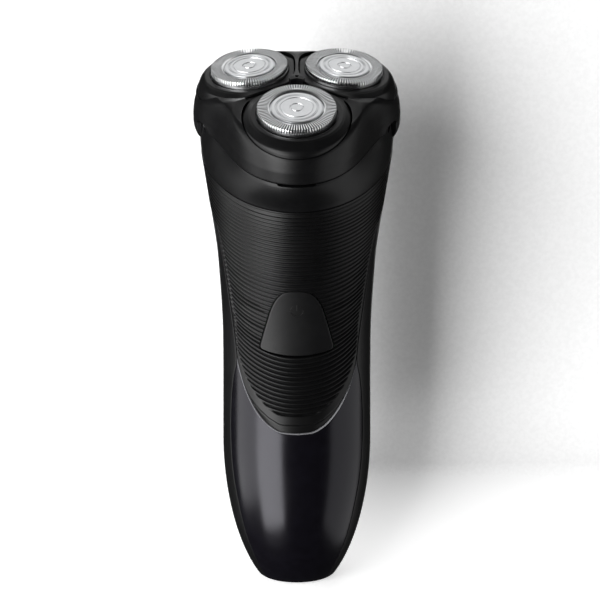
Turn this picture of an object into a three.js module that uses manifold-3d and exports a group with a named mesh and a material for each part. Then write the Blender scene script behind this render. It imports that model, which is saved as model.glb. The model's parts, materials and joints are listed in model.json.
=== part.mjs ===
// Rotary electric shaver: a cordless handle carrying a hinged shaving unit with three heads.
// Millimetres, +Z up, the button side faces -Y and the base stands on z = 0.
import * as THREE from 'three';
import { mergeVertices } from 'three/addons/utils/BufferGeometryUtils.js';
import Module from 'manifold-3d';

const wasm = await Module();
wasm.setup();

// ---------------------------------------------------------------- driving dimensions
const GAP = 0.3;                    // clearance between neighbouring pieces
const WALL = 2.0;                   // thickness of the plastic shells
const HEAD_TILT = rad(21);          // the head leans forward over the button side
const HEAD_ORIGIN = [0, -12, 154.5];
const CENTRE_SHIFT = 9.13;          // brings the middle of the footprint over the origin
const HEAD_SIDES = 36;              // facets round the shaving unit

const CAP_RING = 15.6;              // distance of each cap centre from the head axis
const CAP_TILT = rad(5);            // each cap faces slightly outward
const CAP_RADIUS = 11;
const FLANGE_RADIUS = 11.7;         // hidden rim that keeps a cap under its petal
const CAP_SLOTS = 16;               // drawn hair slots, far fewer than on the real guard
const CAP_SIDES = 20;
const CAP_RISE = 2.1;               // cap plane above its petal
const PETAL_GAP = 0.35;
const PETAL_BOTTOM = -8;            // lower edge of a petal where it meets the skirt
const PETAL_DROP = 0.6;             // room below a petal for its tilt
const PETAL_FRONT_RADIUS = 16.4;
const PETAL_REAR_RADIUS = 15.2;
const ARM_HALF = 0.85;              // half width left open between petals
const PIVOT_DEPTH = -6.6;            // petal pivot below the cap plane
const PIVOT_REACH = 12;             // inner face of the pivot lugs

const UNIT_BOTTOM = -15.3;          // lower edge of the shaving unit along the head axis
const COLLAR_TOP = -15.6;
const COLLAR_BOTTOM = -24.3;
const UNIT_HINGE_Y = 25.1;
const UNIT_HINGE_Z = -15.6;
const KNUCKLE_RADIUS = 1.6;

const GEAR_RING = 15.1;             // distance of each drive spindle from the motor shaft
const PINION_TEETH = 14;
const GEAR_TEETH = 21;
const MODULE_MM = (2 * GEAR_RING) / (PINION_TEETH + GEAR_TEETH);
const GEAR_BOTTOM = -24.2;
const GEAR_WIDTH = 2.8;
const DECK_TOP = -17.4;
const DECK_THICK = 1.8;

const GRIP_TOP = 131.2;             // upper edge of the grip, where the collar starts
const GRIP_HALF_ANGLE = 98;
const RIBS = 7;                     // drawn grooves, far fewer than on the real grip
const RIB_DEPTH = 0.45;
const BASE_THICK = 2.4;

const BATTERY_RADIUS = 7.1;
const BATTERY_LENGTH = 49;
const BATTERY_Z = 24;
const BATTERY_Y = 5;
const BOARD_Y = -12.6;              // outer face of the circuit board
const BOARD_THICK = 1.6;

// Head directions round the head axis: front, and the two rear heads.
const LOBES = [
  { name: 'front', angle: rad(-90), petal: PETAL_FRONT_RADIUS },
  { name: 'right', angle: rad(30), petal: PETAL_REAR_RADIUS },
  { name: 'left', angle: rad(150), petal: PETAL_REAR_RADIUS },
];

// Cross sections of the handle above its taper: height, spine offset, tilt in degrees,
// half width, front depth, back depth, offset of the widest point, share of head outline.
const STATIONS = [
  [44, 0, 0, 22.25, 20.0, 20.5, 0, 0],
  [75, 0.3, 0, 22.0, 19.8, 20.5, 0, 0],
  [100, -0.6, 6.5, 23.15, 21.6, 21.2, 1, 0],
  [116, -1.8, 14, 25.3, 25.2, 22.0, 3, 0],
  [131.5, -3.18, 21, 27.85, 30.4, 23.0, 5, 0.1],
  [139.94, -6.41, 21, 29.5, 32.5, 23.2, 4, 1],
];
const TAPER_START = 44;             // below this height the handle rounds in to its base
const TAPER_SIDE = 50.5;
const TAPER_DEPTH = 48;
const TAPER_LEAN = -2;

// Half angle of the seam between the rear housing and the front pieces, by height.
const SIDE_SEAM = curve([
  [0, 51], [8.5, 51.9], [16.3, 54.3], [25.5, 56], [34.5, 58.8], [42, 60.5], [51.2, 62],
  [60, 60.5], [66, 57.5], [72, 53], [75.4, 53.9], [85.1, 58.3], [95.5, 63], [110.3, 70.4],
  [118.5, 84], [127.5, 98], [140, 98],
]);
// Height of the lower edge of the grip, by half angle.
const GRIP_EDGE = curve([
  [0, 51.8], [11, 52.1], [21, 53.8], [29.3, 56.5], [36.7, 59.9], [43.2, 63.8], [49.8, 69.1],
  [53, 72.5], [53.9, 75.4], [58.3, 85.1], [63, 95.5], [70.4, 110.3], [84, 118.5], [98, 127.5],
]);
const GRIP_COLUMNS = [0, 14, 26, 36, 45, 53, 56, 60, 66, 72, 84, 98];
// Right half of the power button outline: half angle, height.
const BUTTON_HALF = [
  [0, 96.9], [6, 96.8], [11.5, 95.9], [16.6, 93.3], [22.8, 86.3], [27.6, 79.7],
  [28.9, 77.8], [28, 76.8], [20, 75.9], [10, 75.2], [0, 75],
];

// Envelope of the shaving unit: height along the head axis, share of the outline radius.
const ENVELOPE = [
  [UNIT_BOTTOM, 1], [-11, 1], [-7.7, 0.988], [-5.6, 0.965], [-4, 0.935], [-3, 0.87],
];
const ENVELOPE_TIP = -0.75;
// Standing out of the skirt's side wings, by height along the head axis.
const WING_OUT = curve([
  [-19.6, 0.15], [-18.6, 0.75], [-17.3, 1.1], [-15.3, 1.1], [-11, 0.65], [-7.7, 0.3], [-5.6, 0],
]);
const COLLAR_TUCK = 0.65;           // the collar sits in by this much behind the wings
const LINING = [[-15.6, 1], [-9.5, 0.99], [-6.9, 0.96], [-5.3, 0.89]];
const LINING_TIP = -2.35;

// ---------------------------------------------------------------- materials
const BLACK = { color: 0x17171a, roughness: 0.55, metalness: 0 };
const GLOSS = { color: 0x25252b, roughness: 0.2, metalness: 0 };
const RUBBER = { color: 0x131315, roughness: 0.8, metalness: 0 };
const INNER = { color: 0x3a3d42, roughness: 0.6, metalness: 0 };
const STEEL = { color: 0xc9cbce, roughness: 0.28, metalness: 1 };
const SATIN = { color: 0xb9bcc0, roughness: 0.4, metalness: 1 };
const WHITE = { color: 0xe6e4dd, roughness: 0.5, metalness: 0 };
const GREEN = { color: 0x1f6b3c, roughness: 0.5, metalness: 0 };
const CELL = { color: 0x2e7fb8, roughness: 0.45, metalness: 0 };
const BRASS = { color: 0xc8a24a, roughness: 0.35, metalness: 1 };
const COPPER = { color: 0xa8602f, roughness: 0.4, metalness: 1 };

// ---------------------------------------------------------------- small maths
function rad(degrees) {
  return (degrees * Math.PI) / 180;
}

function lerp(a, b, t) {
  return a + (b - a) * t;
}

function smoothstep(low, high, x) {
  const t = Math.min(Math.max((x - low) / (high - low), 0), 1);
  return t * t * (3 - 2 * t);
}

// Smooth curve through [x, y] points that never overshoots between them.
function curve(points) {
  const slope = points.slice(1).map((p, i) => (p[1] - points[i][1]) / (p[0] - points[i][0]));
  const tangent = points.map((_, i) => {
    if (i === 0) return slope[0];
    if (i === points.length - 1) return slope[i - 1];
    const product = slope[i - 1] * slope[i];
    return product <= 0 ? 0 : (2 * product) / (slope[i - 1] + slope[i]);
  });
  return (x) => {
    const last = points.length - 2;
    let i = 0;
    while (i < last && x > points[i + 1][0]) i += 1;
    const width = points[i + 1][0] - points[i][0];
    const t = Math.min(Math.max((x - points[i][0]) / width, 0), 1);
    const start = (1 + 2 * t) * (1 - t) * (1 - t) * points[i][1];
    const end = t * t * (3 - 2 * t) * points[i + 1][1];
    const leave = t * (1 - t) * (1 - t) * width * tangent[i];
    const arrive = t * t * (t - 1) * width * tangent[i + 1];
    return start + end + leave + arrive;
  };
}

// ---------------------------------------------------------------- handle surface
const stationCurves = [1, 2, 3, 4, 5, 6, 7].map((k) => curve(STATIONS.map((s) => [s[0], s[k]])));

function section(z) {
  if (z < TAPER_START) {
    const drop = TAPER_START - z;
    const side = Math.sqrt(1 - (drop / TAPER_SIDE) ** 2);
    const depth = Math.sqrt(1 - (drop / TAPER_DEPTH) ** 2);
    const [, , , width, front, back] = STATIONS[0];
    const lean = TAPER_LEAN * (drop / TAPER_START) ** 2;
    return [lean, 0, width * side, front * depth, back * depth, 0, 0];
  }
  return stationCurves.map((f) => f(z));
}

// Outline radius of the shaving unit, by angle from the front head.
function headRadius(angle) {
  return 27.66 + 0.99 * Math.cos(angle) + 0.17 * Math.cos(2 * angle)
    + 3.73 * Math.cos(3 * angle) - 0.15 * Math.cos(4 * angle);
}

// Share of the side wings at an angle from the front head: 1 over the wings, 0 elsewhere.
function wingShare(angle) {
  const side = (Math.acos(Math.cos(angle)) * 180) / Math.PI;
  return smoothstep(70, 90, side) * (1 - smoothstep(112, 138, side));
}

// How far the skirt stands out past the head outline, by height and angle.
function wingOut(z, angle) {
  return WING_OUT(z) * wingShare(angle);
}

// Point of the handle surface at an angle from the front, moved inward by inset.
function handlePoint(angle, z, inset = 0) {
  const [spine, tiltDegrees, width, front, back, wide, share] = section(z);
  const c = Math.cos(angle);
  const depth = c > 0 ? front - inset + wide : back - inset - wide;
  const radius = headRadius(angle) - COLLAR_TUCK * wingShare(angle) - inset;
  const across = lerp((width - inset) * Math.sin(angle), radius * Math.sin(angle), share);
  const along = lerp(wide - depth * c, -radius * c, share);
  const tilt = rad(tiltDegrees);
  return [across, spine + along * Math.cos(tilt), z + along * Math.sin(tilt)];
}

function handleLoop(z, inset, sides) {
  return Array.from({ length: sides }, (_, i) => handlePoint((i * 2 * Math.PI) / sides, z, inset));
}

function headLoop(z, share, inset = 0) {
  return Array.from({ length: HEAD_SIDES }, (_, i) => {
    const angle = (i * 2 * Math.PI) / HEAD_SIDES;
    const radius = headRadius(angle) * share - inset;
    return [radius * Math.sin(angle), -radius * Math.cos(angle), z];
  });
}

// Outline of the skirt at a height, wings included.
function skirtLoop(z, share) {
  return Array.from({ length: HEAD_SIDES }, (_, i) => {
    const angle = (i * 2 * Math.PI) / HEAD_SIDES;
    const radius = headRadius(angle) * share + wingOut(z, angle);
    return [radius * Math.sin(angle), -radius * Math.cos(angle), z];
  });
}

// ---------------------------------------------------------------- solid builders
// Geometry from points and triangles, turned so that its faces look outward.
function body(points, triangles) {
  const p = points.map((q) => new THREE.Vector3(...q));
  const cross = new THREE.Vector3();
  let volume = 0;
  for (const [a, b, c] of triangles) volume += p[a].dot(cross.crossVectors(p[b], p[c]));
  const index = triangles.flatMap(([a, b, c]) => (volume > 0 ? [a, b, c] : [a, c, b]));
  const geometry = new THREE.BufferGeometry();
  geometry.setAttribute('position', new THREE.Float32BufferAttribute(points.flat(), 3));
  geometry.setIndex(index);
  return geometry;
}

function quad(a, b, c, d) {
  return [[a, b, c], [a, c, d]];
}

function middle(loop) {
  return [0, 1, 2].map((k) => loop.reduce((sum, p) => sum + p[k], 0) / loop.length);
}

// Solid through loops of equal length, closed at both ends by a fan to a tip point.
function loft(loops, endTip = middle(loops[loops.length - 1])) {
  const n = loops[0].length;
  const points = [...loops.flat(), middle(loops[0]), endTip];
  const bottom = n * loops.length;
  const faces = [];
  for (let i = 0; i < n; i += 1) {
    const j = (i + 1) % n;
    for (let k = 0; k + 1 < loops.length; k += 1) {
      faces.push(...quad(k * n + i, k * n + j, (k + 1) * n + j, (k + 1) * n + i));
    }
    faces.push([i, bottom, j]);
    faces.push([bottom - n + i, bottom - n + j, bottom + 1]);
  }
  return body(points, faces);
}

// Ring solid: the loops go up the outside and back down the inside.
function ring(loops) {
  const n = loops[0].length;
  const faces = [];
  for (let k = 0; k < loops.length; k += 1) {
    const next = (k + 1) % loops.length;
    for (let i = 0; i < n; i += 1) {
      const j = (i + 1) % n;
      faces.push(...quad(k * n + i, k * n + j, next * n + j, next * n + i));
    }
  }
  return body(loops.flat(), faces);
}

// Curved shell panel: spot(i, j) gives [angle in degrees, height] of each grid point.
function panel(columns, rows, spot, thickness, inset = () => 0) {
  const outer = [];
  const inner = [];
  for (let i = 0; i <= columns; i += 1) {
    for (let j = 0; j <= rows; j += 1) {
      const [degrees, z] = spot(i, j);
      outer.push(handlePoint(rad(degrees), z, inset(i, j)));
      inner.push(handlePoint(rad(degrees), z, thickness));
    }
  }
  const n = outer.length;
  const at = (i, j) => i * (rows + 1) + j;
  const faces = [];
  const wall = (a, b) => faces.push(...quad(a, b, b + n, a + n));
  for (let i = 0; i < columns; i += 1) {
    for (let j = 0; j < rows; j += 1) {
      faces.push(...quad(at(i, j), at(i, j + 1), at(i + 1, j + 1), at(i + 1, j)));
      faces.push(...quad(n + at(i, j), n + at(i + 1, j), n + at(i + 1, j + 1), n + at(i, j + 1)));
    }
    wall(at(i, 0), at(i + 1, 0));
    wall(at(i + 1, rows), at(i, rows));
  }
  for (let j = 0; j < rows; j += 1) {
    wall(at(0, j + 1), at(0, j));
    wall(at(columns, j), at(columns, j + 1));
  }
  return body([...outer, ...inner], faces);
}

function block(x0, x1, y0, y1, z0, z1) {
  const box = new THREE.BoxGeometry(x1 - x0, y1 - y0, z1 - z0);
  return box.translate((x0 + x1) / 2, (y0 + y1) / 2, (z0 + z1) / 2);
}

// Upright rod from z0 to z1 at (x, y).
function rod(radius, z0, z1, x = 0, y = 0, sides = 24) {
  const cylinder = new THREE.CylinderGeometry(radius, radius, z1 - z0, sides);
  return cylinder.rotateX(Math.PI / 2).translate(x, y, (z0 + z1) / 2);
}

// Rod along X from x0 to x1.
function crossRod(radius, x0, x1, y, z, sides = 16) {
  const cylinder = new THREE.CylinderGeometry(radius, radius, x1 - x0, sides);
  return cylinder.rotateZ(Math.PI / 2).translate((x0 + x1) / 2, y, z);
}

// Rod along Y from y0 to y1.
function deepRod(radius, y0, y1, x, z, sides = 16) {
  const cylinder = new THREE.CylinderGeometry(radius, radius, y1 - y0, sides);
  return cylinder.translate(x, (y0 + y1) / 2, z);
}

// Turned solid about Z from a profile of [radius, z] points.
function turned(profile, sides) {
  const points = profile.map(([r, z]) => new THREE.Vector2(r, z));
  const lathe = new THREE.LatheGeometry(points, sides).rotateX(Math.PI / 2);
  const merged = mergeVertices(lathe.deleteAttribute('normal').deleteAttribute('uv'), 1e-4);
  const p = merged.attributes.position;
  const index = merged.index.array;
  const corners = Array.from({ length: p.count }, (_, i) => [p.getX(i), p.getY(i), p.getZ(i)]);
  const faces = [];
  for (let i = 0; i < index.length; i += 3) {
    const [a, b, c] = index.slice(i, i + 3);
    if (a !== b && b !== c && c !== a) faces.push([a, b, c]);
  }
  return body(corners, faces);
}

// Upright prism from a flat outline of [x, y] points.
function prism(outline, z0, z1) {
  const shape = new THREE.Shape(outline.map(([x, y]) => new THREE.Vector2(x, y)));
  const solid = new THREE.ExtrudeGeometry(shape, { depth: z1 - z0, bevelEnabled: false });
  return solid.translate(0, 0, z0);
}

function toManifold(geometry) {
  const bare = geometry.clone();
  bare.deleteAttribute('normal');
  bare.deleteAttribute('uv');
  const merged = mergeVertices(bare, 1e-4);
  return new wasm.Manifold(new wasm.Mesh({
    numProp: 3,
    vertProperties: new Float32Array(merged.attributes.position.array),
    triVerts: new Uint32Array(merged.index.array),
  }));
}

function fromManifold(manifold) {
  const mesh = manifold.getMesh();
  const geometry = new THREE.BufferGeometry();
  geometry.setAttribute('position', new THREE.Float32BufferAttribute(mesh.vertProperties, 3));
  geometry.setIndex(Array.from(mesh.triVerts));
  return geometry;
}

function join(...geometries) {
  const all = geometries.map(toManifold);
  return fromManifold(all.reduce((sum, next) => sum.add(next)));
}

function cut(base, ...tools) {
  return fromManifold(tools.map(toManifold).reduce((rest, t) => rest.subtract(t), toManifold(base)));
}

function common(...geometries) {
  const all = geometries.map(toManifold);
  return fromManifold(all.reduce((sum, next) => sum.intersect(next)));
}

function piece(name, geometry, look) {
  geometry.computeVertexNormals();
  const mesh = new THREE.Mesh(geometry, new THREE.MeshStandardMaterial(look));
  mesh.name = name;
  return mesh;
}

// ---------------------------------------------------------------- assembly groups
const shaver = new THREE.Group();
shaver.name = 'shaver';

const head = new THREE.Group();
head.position.set(...HEAD_ORIGIN);
head.rotation.x = HEAD_TILT;
shaver.add(head);

// Frame of one cap: x outward from the head axis, z along the cap normal.
function capMatrix(lobe) {
  const turn = new THREE.Matrix4().makeRotationZ(lobe.angle);
  const lean = new THREE.Matrix4().makeRotationY(CAP_TILT);
  return turn.multiply(new THREE.Matrix4().makeTranslation(CAP_RING, 0, 0)).multiply(lean);
}

function capGroup(lobe) {
  const group = new THREE.Group();
  group.position.set(CAP_RING * Math.cos(lobe.angle), CAP_RING * Math.sin(lobe.angle), 0);
  group.rotation.set(0, CAP_TILT, lobe.angle, 'ZYX');
  head.add(group);
  return group;
}

// ---------------------------------------------------------------- handle shells
const SEAM_GAP = 0.8;               // seam clearance in degrees, GAP wide on the surface
const HOUSING_COLUMNS = 12;
// Rows of the rear housing: height and half angle of its seam.
const HOUSING_ROWS = [
  ...[0, 5, 12, 21, 32, 43, 51.5, 60, 67].map((z) => [z, SIDE_SEAM(z)]),
  ...GRIP_COLUMNS.filter((a) => a >= 53).map((a) => [GRIP_EDGE(a), a]),
  [GRIP_TOP, GRIP_HALF_ANGLE],
];
const BOSSES = [[10.5, 32], [-10.5, 32], [10.5, 80], [-10.5, 80]];
const BOSS_RADIUS = 2.4;
const BOSS_FRONT = -1.2;
const BOSS_BACK = 16.4;
const SOCKET_HALF = [7.9, 4.9];
const SOCKET_CAVITY = [6.5, 3.5];
const SOCKET_HEIGHT = 10;
const SOCKET_DEPTH = 8;

function rearHousing() {
  const shell = panel(HOUSING_COLUMNS, HOUSING_ROWS.length - 1, (i, j) => {
    const [z, seam] = HOUSING_ROWS[j];
    const start = seam + SEAM_GAP;
    return [lerp(start, 360 - start, i / HOUSING_COLUMNS), z];
  }, WALL);
  const skin = 0.05;
  const base = loft([handleLoop(0, skin, 28), handleLoop(BASE_THICK, skin, 28)]);
  const bosses = BOSSES.map(([x, z]) => deepRod(BOSS_RADIUS, BOSS_FRONT, BOSS_BACK, x, z, 10));
  const holes = BOSSES.map(([x, z]) => deepRod(1.3, BOSS_FRONT - 1, 10.5, x, z, 8));
  const [sx, sy] = SOCKET_HALF;
  const mouth = block(-sx - GAP, sx + GAP, TAPER_LEAN - sy - GAP, TAPER_LEAN + sy + GAP, -1, 4);
  return cut(join(shell, base, ...bosses), mouth, ...holes);
}

// The cover top follows the lower edge of the grip; its sides follow the side seam.
function coverTop(share) {
  let z = GRIP_EDGE(0);
  for (let step = 0; step < 30; step += 1) z = GRIP_EDGE(Math.abs(share) * Math.min(SIDE_SEAM(z), 53));
  return z - lerp(GAP, 0.8, share * share);
}

function frontCover() {
  const columns = 12;
  const rows = 10;
  return panel(columns, rows, (i, j) => {
    const share = (2 * i) / columns - 1;
    const z = lerp(BASE_THICK + GAP, coverTop(share), j / rows);
    return [share * SIDE_SEAM(z), z];
  }, WALL);
}

function buttonOutline() {
  const mirrored = BUTTON_HALF.slice(1, -1).reverse().map(([a, z]) => [-a, z]);
  return [...BUTTON_HALF, ...mirrored];
}

const BUTTON_OPENING = 1.028;       // opening round the power button, over the button's size

// Loop on the handle surface round the button, grown by a share about its centre.
function buttonLoop(scale, inset) {
  const centre = 85;
  return buttonOutline().map(([a, z]) => handlePoint(rad(a * scale), lerp(centre, z, scale), inset));
}

// The same loop moved straight back, the way the button slides.
function movedBack(loop, distance) {
  return loop.map(([x, y, z]) => [x, y + distance, z]);
}

function gripPanel() {
  const angles = [...GRIP_COLUMNS.slice(1).reverse().map((a) => -a), ...GRIP_COLUMNS];
  const rows = 2 * RIBS;
  const edge = rows - 2;
  const plain = panel(angles.length - 1, rows, (i, j) => {
    const low = GRIP_EDGE(Math.abs(angles[i]));
    return [angles[i], lerp(low, GRIP_TOP, j / rows)];
  }, WALL, (i, j) => {
    const border = i < 1 || i > angles.length - 2 || j < 2 || j > edge;
    return !border && j % 2 === 1 ? RIB_DEPTH : 0;
  });
  const opening = buttonLoop(BUTTON_OPENING, 0);
  return cut(plain, loft([movedBack(opening, -6), movedBack(opening, 8)]));
}

function powerButton() {
  const cap = loft([
    movedBack(buttonLoop(1, 0.15), 1.55), buttonLoop(1, 0.15), buttonLoop(0.97, 0), buttonLoop(0.6, 0),
    buttonLoop(0.25, 0),
  ]);
  return join(cap, deepRod(1.6, -18.8, -16.5, 0, 85, 12));
}

shaver.add(piece('rear_housing', rearHousing(), BLACK));
shaver.add(piece('front_cover', frontCover(), GLOSS));
shaver.add(piece('grip_panel', gripPanel(), RUBBER));
shaver.add(piece('power_button', powerButton(), BLACK));

// ---------------------------------------------------------------- collar and gear deck
// Height of a handle section that lies at a given height along the head axis.
function sectionAt(headZ) {
  return lerp(131.5, 139.94, (headZ + 24.63) / (24.63 - 15.6));
}

function toHead(points) {
  const inverse = new THREE.Matrix4().makeRotationX(HEAD_TILT).setPosition(...HEAD_ORIGIN).invert();
  return points.map((p) => new THREE.Vector3(...p).applyMatrix4(inverse).toArray());
}

function collarLoop(headZ, inset) {
  return toHead(handleLoop(sectionAt(headZ), inset, HEAD_SIDES));
}

const NOTCH_HALF = 5.3;             // finger notch in the collar's upper edge, at the front
const NOTCH_DEPTH = 1.2;
const SIDE_NOTCH_Y = -2.6;          // finger notch below each wing, half of it in the collar
const SIDE_NOTCH_HEIGHT = 1.8;
const SIDE_NOTCH_STRETCH = 1.65;    // its half width over its height
const SIDE_NOTCH_INNER = 26;        // how far in it reaches in the collar
const WING_BOTTOM = -19.6;
const WING_GAP = 0.4;

function collar() {
  const levels = [COLLAR_BOTTOM, -19.5, COLLAR_TOP - GAP];
  const outside = levels.map((z) => collarLoop(z, 0));
  const inside = levels.reverse().map((z) => collarLoop(z, WALL + 0.2));
  const notch = block(-NOTCH_HALF, NOTCH_HALF, -36, -26, COLLAR_TOP - GAP - NOTCH_DEPTH, -15);
  const lugs = [-1, 1].map((side) => {
    const x0 = side < 0 ? -9 : 5.4;
    const arm = block(x0, x0 + 3.6, 21.8, UNIT_HINGE_Y, -19.5, UNIT_HINGE_Z - 0.4);
    return join(arm, crossRod(KNUCKLE_RADIUS, x0, x0 + 3.6, UNIT_HINGE_Y, UNIT_HINGE_Z));
  });
  const bore = crossRod(1, -12, 12, UNIT_HINGE_Y, UNIT_HINGE_Z, 12);
  return cut(join(ring([...outside, ...inside]), ...lugs), notch, bore,
    ...sideNotch(SIDE_NOTCH_INNER));
}

function topDeck() {
  const z = DECK_TOP - DECK_THICK;
  const plate = loft([collarLoop(z, WALL + 0.6), collarLoop(DECK_TOP, WALL + 0.6)]);
  const holes = LOBES.map(({ angle }) => rod(3, z - 1, DECK_TOP + 1,
    GEAR_RING * Math.cos(angle), GEAR_RING * Math.sin(angle), 14));
  return cut(plate, ...holes);
}

const PLATE_TOP = -25;
const PLATE_BOTTOM = -26.6;
const AXLE_RADIUS = 0.9;
const PILLAR_RING = 15;

function gearPlate() {
  const outline = Array.from({ length: 24 }, (_, i) => {
    const angle = rad(i * 15);
    const radius = 17.5 + 1.6 * Math.cos(3 * angle);
    return [radius * Math.sin(angle), -radius * Math.cos(angle)];
  });
  const axles = LOBES.map(({ angle }) => rod(AXLE_RADIUS, PLATE_TOP - 0.5, -23.2,
    GEAR_RING * Math.cos(angle), GEAR_RING * Math.sin(angle), 8));
  const pillars = LOBES.map(({ angle }) => rod(1.5, PLATE_TOP - 0.5, DECK_TOP - DECK_THICK - GAP,
    -PILLAR_RING * Math.cos(angle), -PILLAR_RING * Math.sin(angle), 8));
  const plate = cut(prism(outline, PLATE_BOTTOM, PLATE_TOP), rod(2, PLATE_BOTTOM - 1, PLATE_TOP + 1));
  return join(plate, ...axles, ...pillars);
}

head.add(piece('collar', collar(), BLACK));
head.add(piece('top_deck', topDeck(), INNER));
head.add(piece('gear_plate', gearPlate(), WHITE));
head.add(piece('hinge_pin', crossRod(0.7, -8.8, 8.8, UNIT_HINGE_Y, UNIT_HINGE_Z, 12), STEEL));

// ---------------------------------------------------------------- motor and gears
const CAN_RADIUS = 10.5;
const CAN_TOP = PLATE_BOTTOM - GAP;
const CAN_BOTTOM = -49;
const SHAFT_RADIUS = 1;

const can = turned([
  [1.6, CAN_TOP], [CAN_RADIUS, CAN_TOP], [CAN_RADIUS, CAN_BOTTOM], [9.7, CAN_BOTTOM],
  [9.7, CAN_TOP - 1], [1.6, CAN_TOP - 1], [1.6, CAN_TOP],
], 20);
const endcap = turned([
  [1.6, CAN_BOTTOM - 1.8], [9.3, CAN_BOTTOM - 1.8], [9.3, CAN_BOTTOM + 1.5],
  [1.6, CAN_BOTTOM + 1.5], [1.6, CAN_BOTTOM - 1.8],
], 20);
head.add(piece('motor_can', can, SATIN));
head.add(piece('motor_endcap', endcap, WHITE));

// Three-pole rotor core: slots let the windings through.
function rotorCore() {
  const core = rod(8.6, -45.4, -30.6, 0, 0, 30);
  const slots = [0, 1, 2].map((k) => {
    const slot = block(4.6, 10, -1.2, 1.2, -46, -30);
    return slot.rotateZ(rad(120 * k));
  });
  return cut(core, ...slots, rod(SHAFT_RADIUS + GAP, -46, -30, 0, 0, 16));
}
head.add(piece('motor_rotor', rotorCore(), COPPER));
head.add(piece('motor_shaft', rod(SHAFT_RADIUS, CAN_BOTTOM - 2.4, -20.4, 0, 0, 16), STEEL));

// Outline of a spur gear with straight-flanked teeth, one tooth centred on the phase angle.
function gearOutline(teeth, phase) {
  const pitch = (MODULE_MM * teeth) / 2;
  const root = pitch - 1.15 * MODULE_MM;
  const tip = pitch + 0.8 * MODULE_MM;
  const step = (2 * Math.PI) / teeth;
  const outline = [];
  for (let i = 0; i < teeth; i += 1) {
    const centre = phase + i * step;
    for (const [radius, offset] of [[root, -0.27], [tip, -0.11], [tip, 0.11], [root, 0.27]]) {
      const angle = centre + offset * step;
      outline.push([radius * Math.cos(angle), radius * Math.sin(angle)]);
    }
  }
  return outline;
}

// Phase that puts a tooth gap of the driven gear over the pinion tooth facing it.
function meshPhase(angle) {
  const pinionStep = (2 * Math.PI) / PINION_TEETH;
  const past = ((angle / pinionStep) % 1 + 1) % 1;
  return angle + Math.PI - ((0.5 - past) * 2 * Math.PI) / GEAR_TEETH;
}

const GEAR_TOP = GEAR_BOTTOM + GEAR_WIDTH;
const SPINDLE_FOOT = -21.3;
const pinion = cut(prism(gearOutline(PINION_TEETH, 0), GEAR_BOTTOM, GEAR_TOP),
  rod(SHAFT_RADIUS + GAP, GEAR_BOTTOM - 1, GEAR_TOP + 1, 0, 0, 16));
head.add(piece('drive_pinion', pinion, BRASS));

for (const lobe of LOBES) {
  const group = new THREE.Group();
  group.position.set(GEAR_RING * Math.cos(lobe.angle), GEAR_RING * Math.sin(lobe.angle), 0);
  head.add(group);
  const wheel = join(prism(gearOutline(GEAR_TEETH, meshPhase(lobe.angle)), GEAR_BOTTOM, GEAR_TOP),
    rod(4, GEAR_BOTTOM, -19.6, 0, 0, 14));
  const gear = cut(wheel, rod(AXLE_RADIUS + GAP, GEAR_BOTTOM - 1, -22.8, 0, 0, 8),
    rod(2.6, -22.8, -19, 0, 0, 14));
  group.add(piece(`drive_gear_${lobe.name}`, gear, WHITE));
  const spindle = turned([
    [0, SPINDLE_FOOT], [2.3, SPINDLE_FOOT], [2.3, -9.8], [1.2, -8.6], [1.2, -5.2], [0, -5.2],
  ], 12);
  group.add(piece(`drive_spindle_${lobe.name}`, spindle, WHITE));
}

// ---------------------------------------------------------------- electrics in the handle
const CHASSIS_BACK = -1.5;
const CHASSIS_FRONT = -3.1;
const [bossX, lowBossZ] = BOSSES[0];
const highBossZ = BOSSES[2][1];

// Tray between battery and circuit board, with board posts and end stops for the cell.
function chassis() {
  const tray = block(-13.5, 13.5, CHASSIS_FRONT, CHASSIS_BACK, 18, 92);
  const cradle = rod(BATTERY_RADIUS + GAP, BATTERY_Z - 2, BATTERY_Z + BATTERY_LENGTH + 2, 0, BATTERY_Y, 20);
  const posts = [[-10, 40], [10, 40], [-10, 88], [10, 88]].map(([x, z]) => deepRod(1.6,
    BOARD_Y + BOARD_THICK + GAP, CHASSIS_FRONT + 0.5, x, z, 8));
  const lowStop = block(-6, 6, CHASSIS_BACK - 0.5, 8, 19, 21);
  const highStop = block(-6, 6, CHASSIS_BACK - 0.5, 8, 77, 79);
  const holes = BOSSES.map(([x, z]) => deepRod(1.3, -6, 0, x, z, 8));
  return cut(join(tray, lowStop, highStop, ...posts), cradle, ...holes);
}
shaver.add(piece('chassis', chassis(), INNER));

BOSSES.forEach(([x, z], i) => {
  const shank = deepRod(1, CHASSIS_FRONT - 0.6, 8, x, z, 8);
  const screwHead = deepRod(2, CHASSIS_FRONT - 1.9, CHASSIS_FRONT - GAP, x, z, 10);
  shaver.add(piece(`chassis_screw_${i + 1}`, join(shank, screwHead), STEEL));
});

const cell = turned([
  [0, BATTERY_Z], [6.4, BATTERY_Z], [BATTERY_RADIUS, BATTERY_Z + 0.8],
  [BATTERY_RADIUS, BATTERY_Z + BATTERY_LENGTH - 2.2], [6.4, BATTERY_Z + BATTERY_LENGTH - 1.4],
  [2.6, BATTERY_Z + BATTERY_LENGTH - 1.4], [2.6, BATTERY_Z + BATTERY_LENGTH],
  [0, BATTERY_Z + BATTERY_LENGTH],
], 18).translate(0, BATTERY_Y, 0);
shaver.add(piece('battery_cell', cell, CELL));

// Nickel strips from the cell ends, passing the tray edge to the circuit board.
function batteryTab(z, direction) {
  const thick = 0.4;
  const flat = block(-2, 2, -1, BATTERY_Y + 2, z, z + thick);
  return direction > 0 ? flat : flat.translate(0, 0, -thick);
}
shaver.add(piece('battery_tab_top', batteryTab(BATTERY_Z + BATTERY_LENGTH + GAP, 1), SATIN));
shaver.add(piece('battery_tab_bottom', batteryTab(BATTERY_Z - GAP, -1), SATIN));

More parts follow.
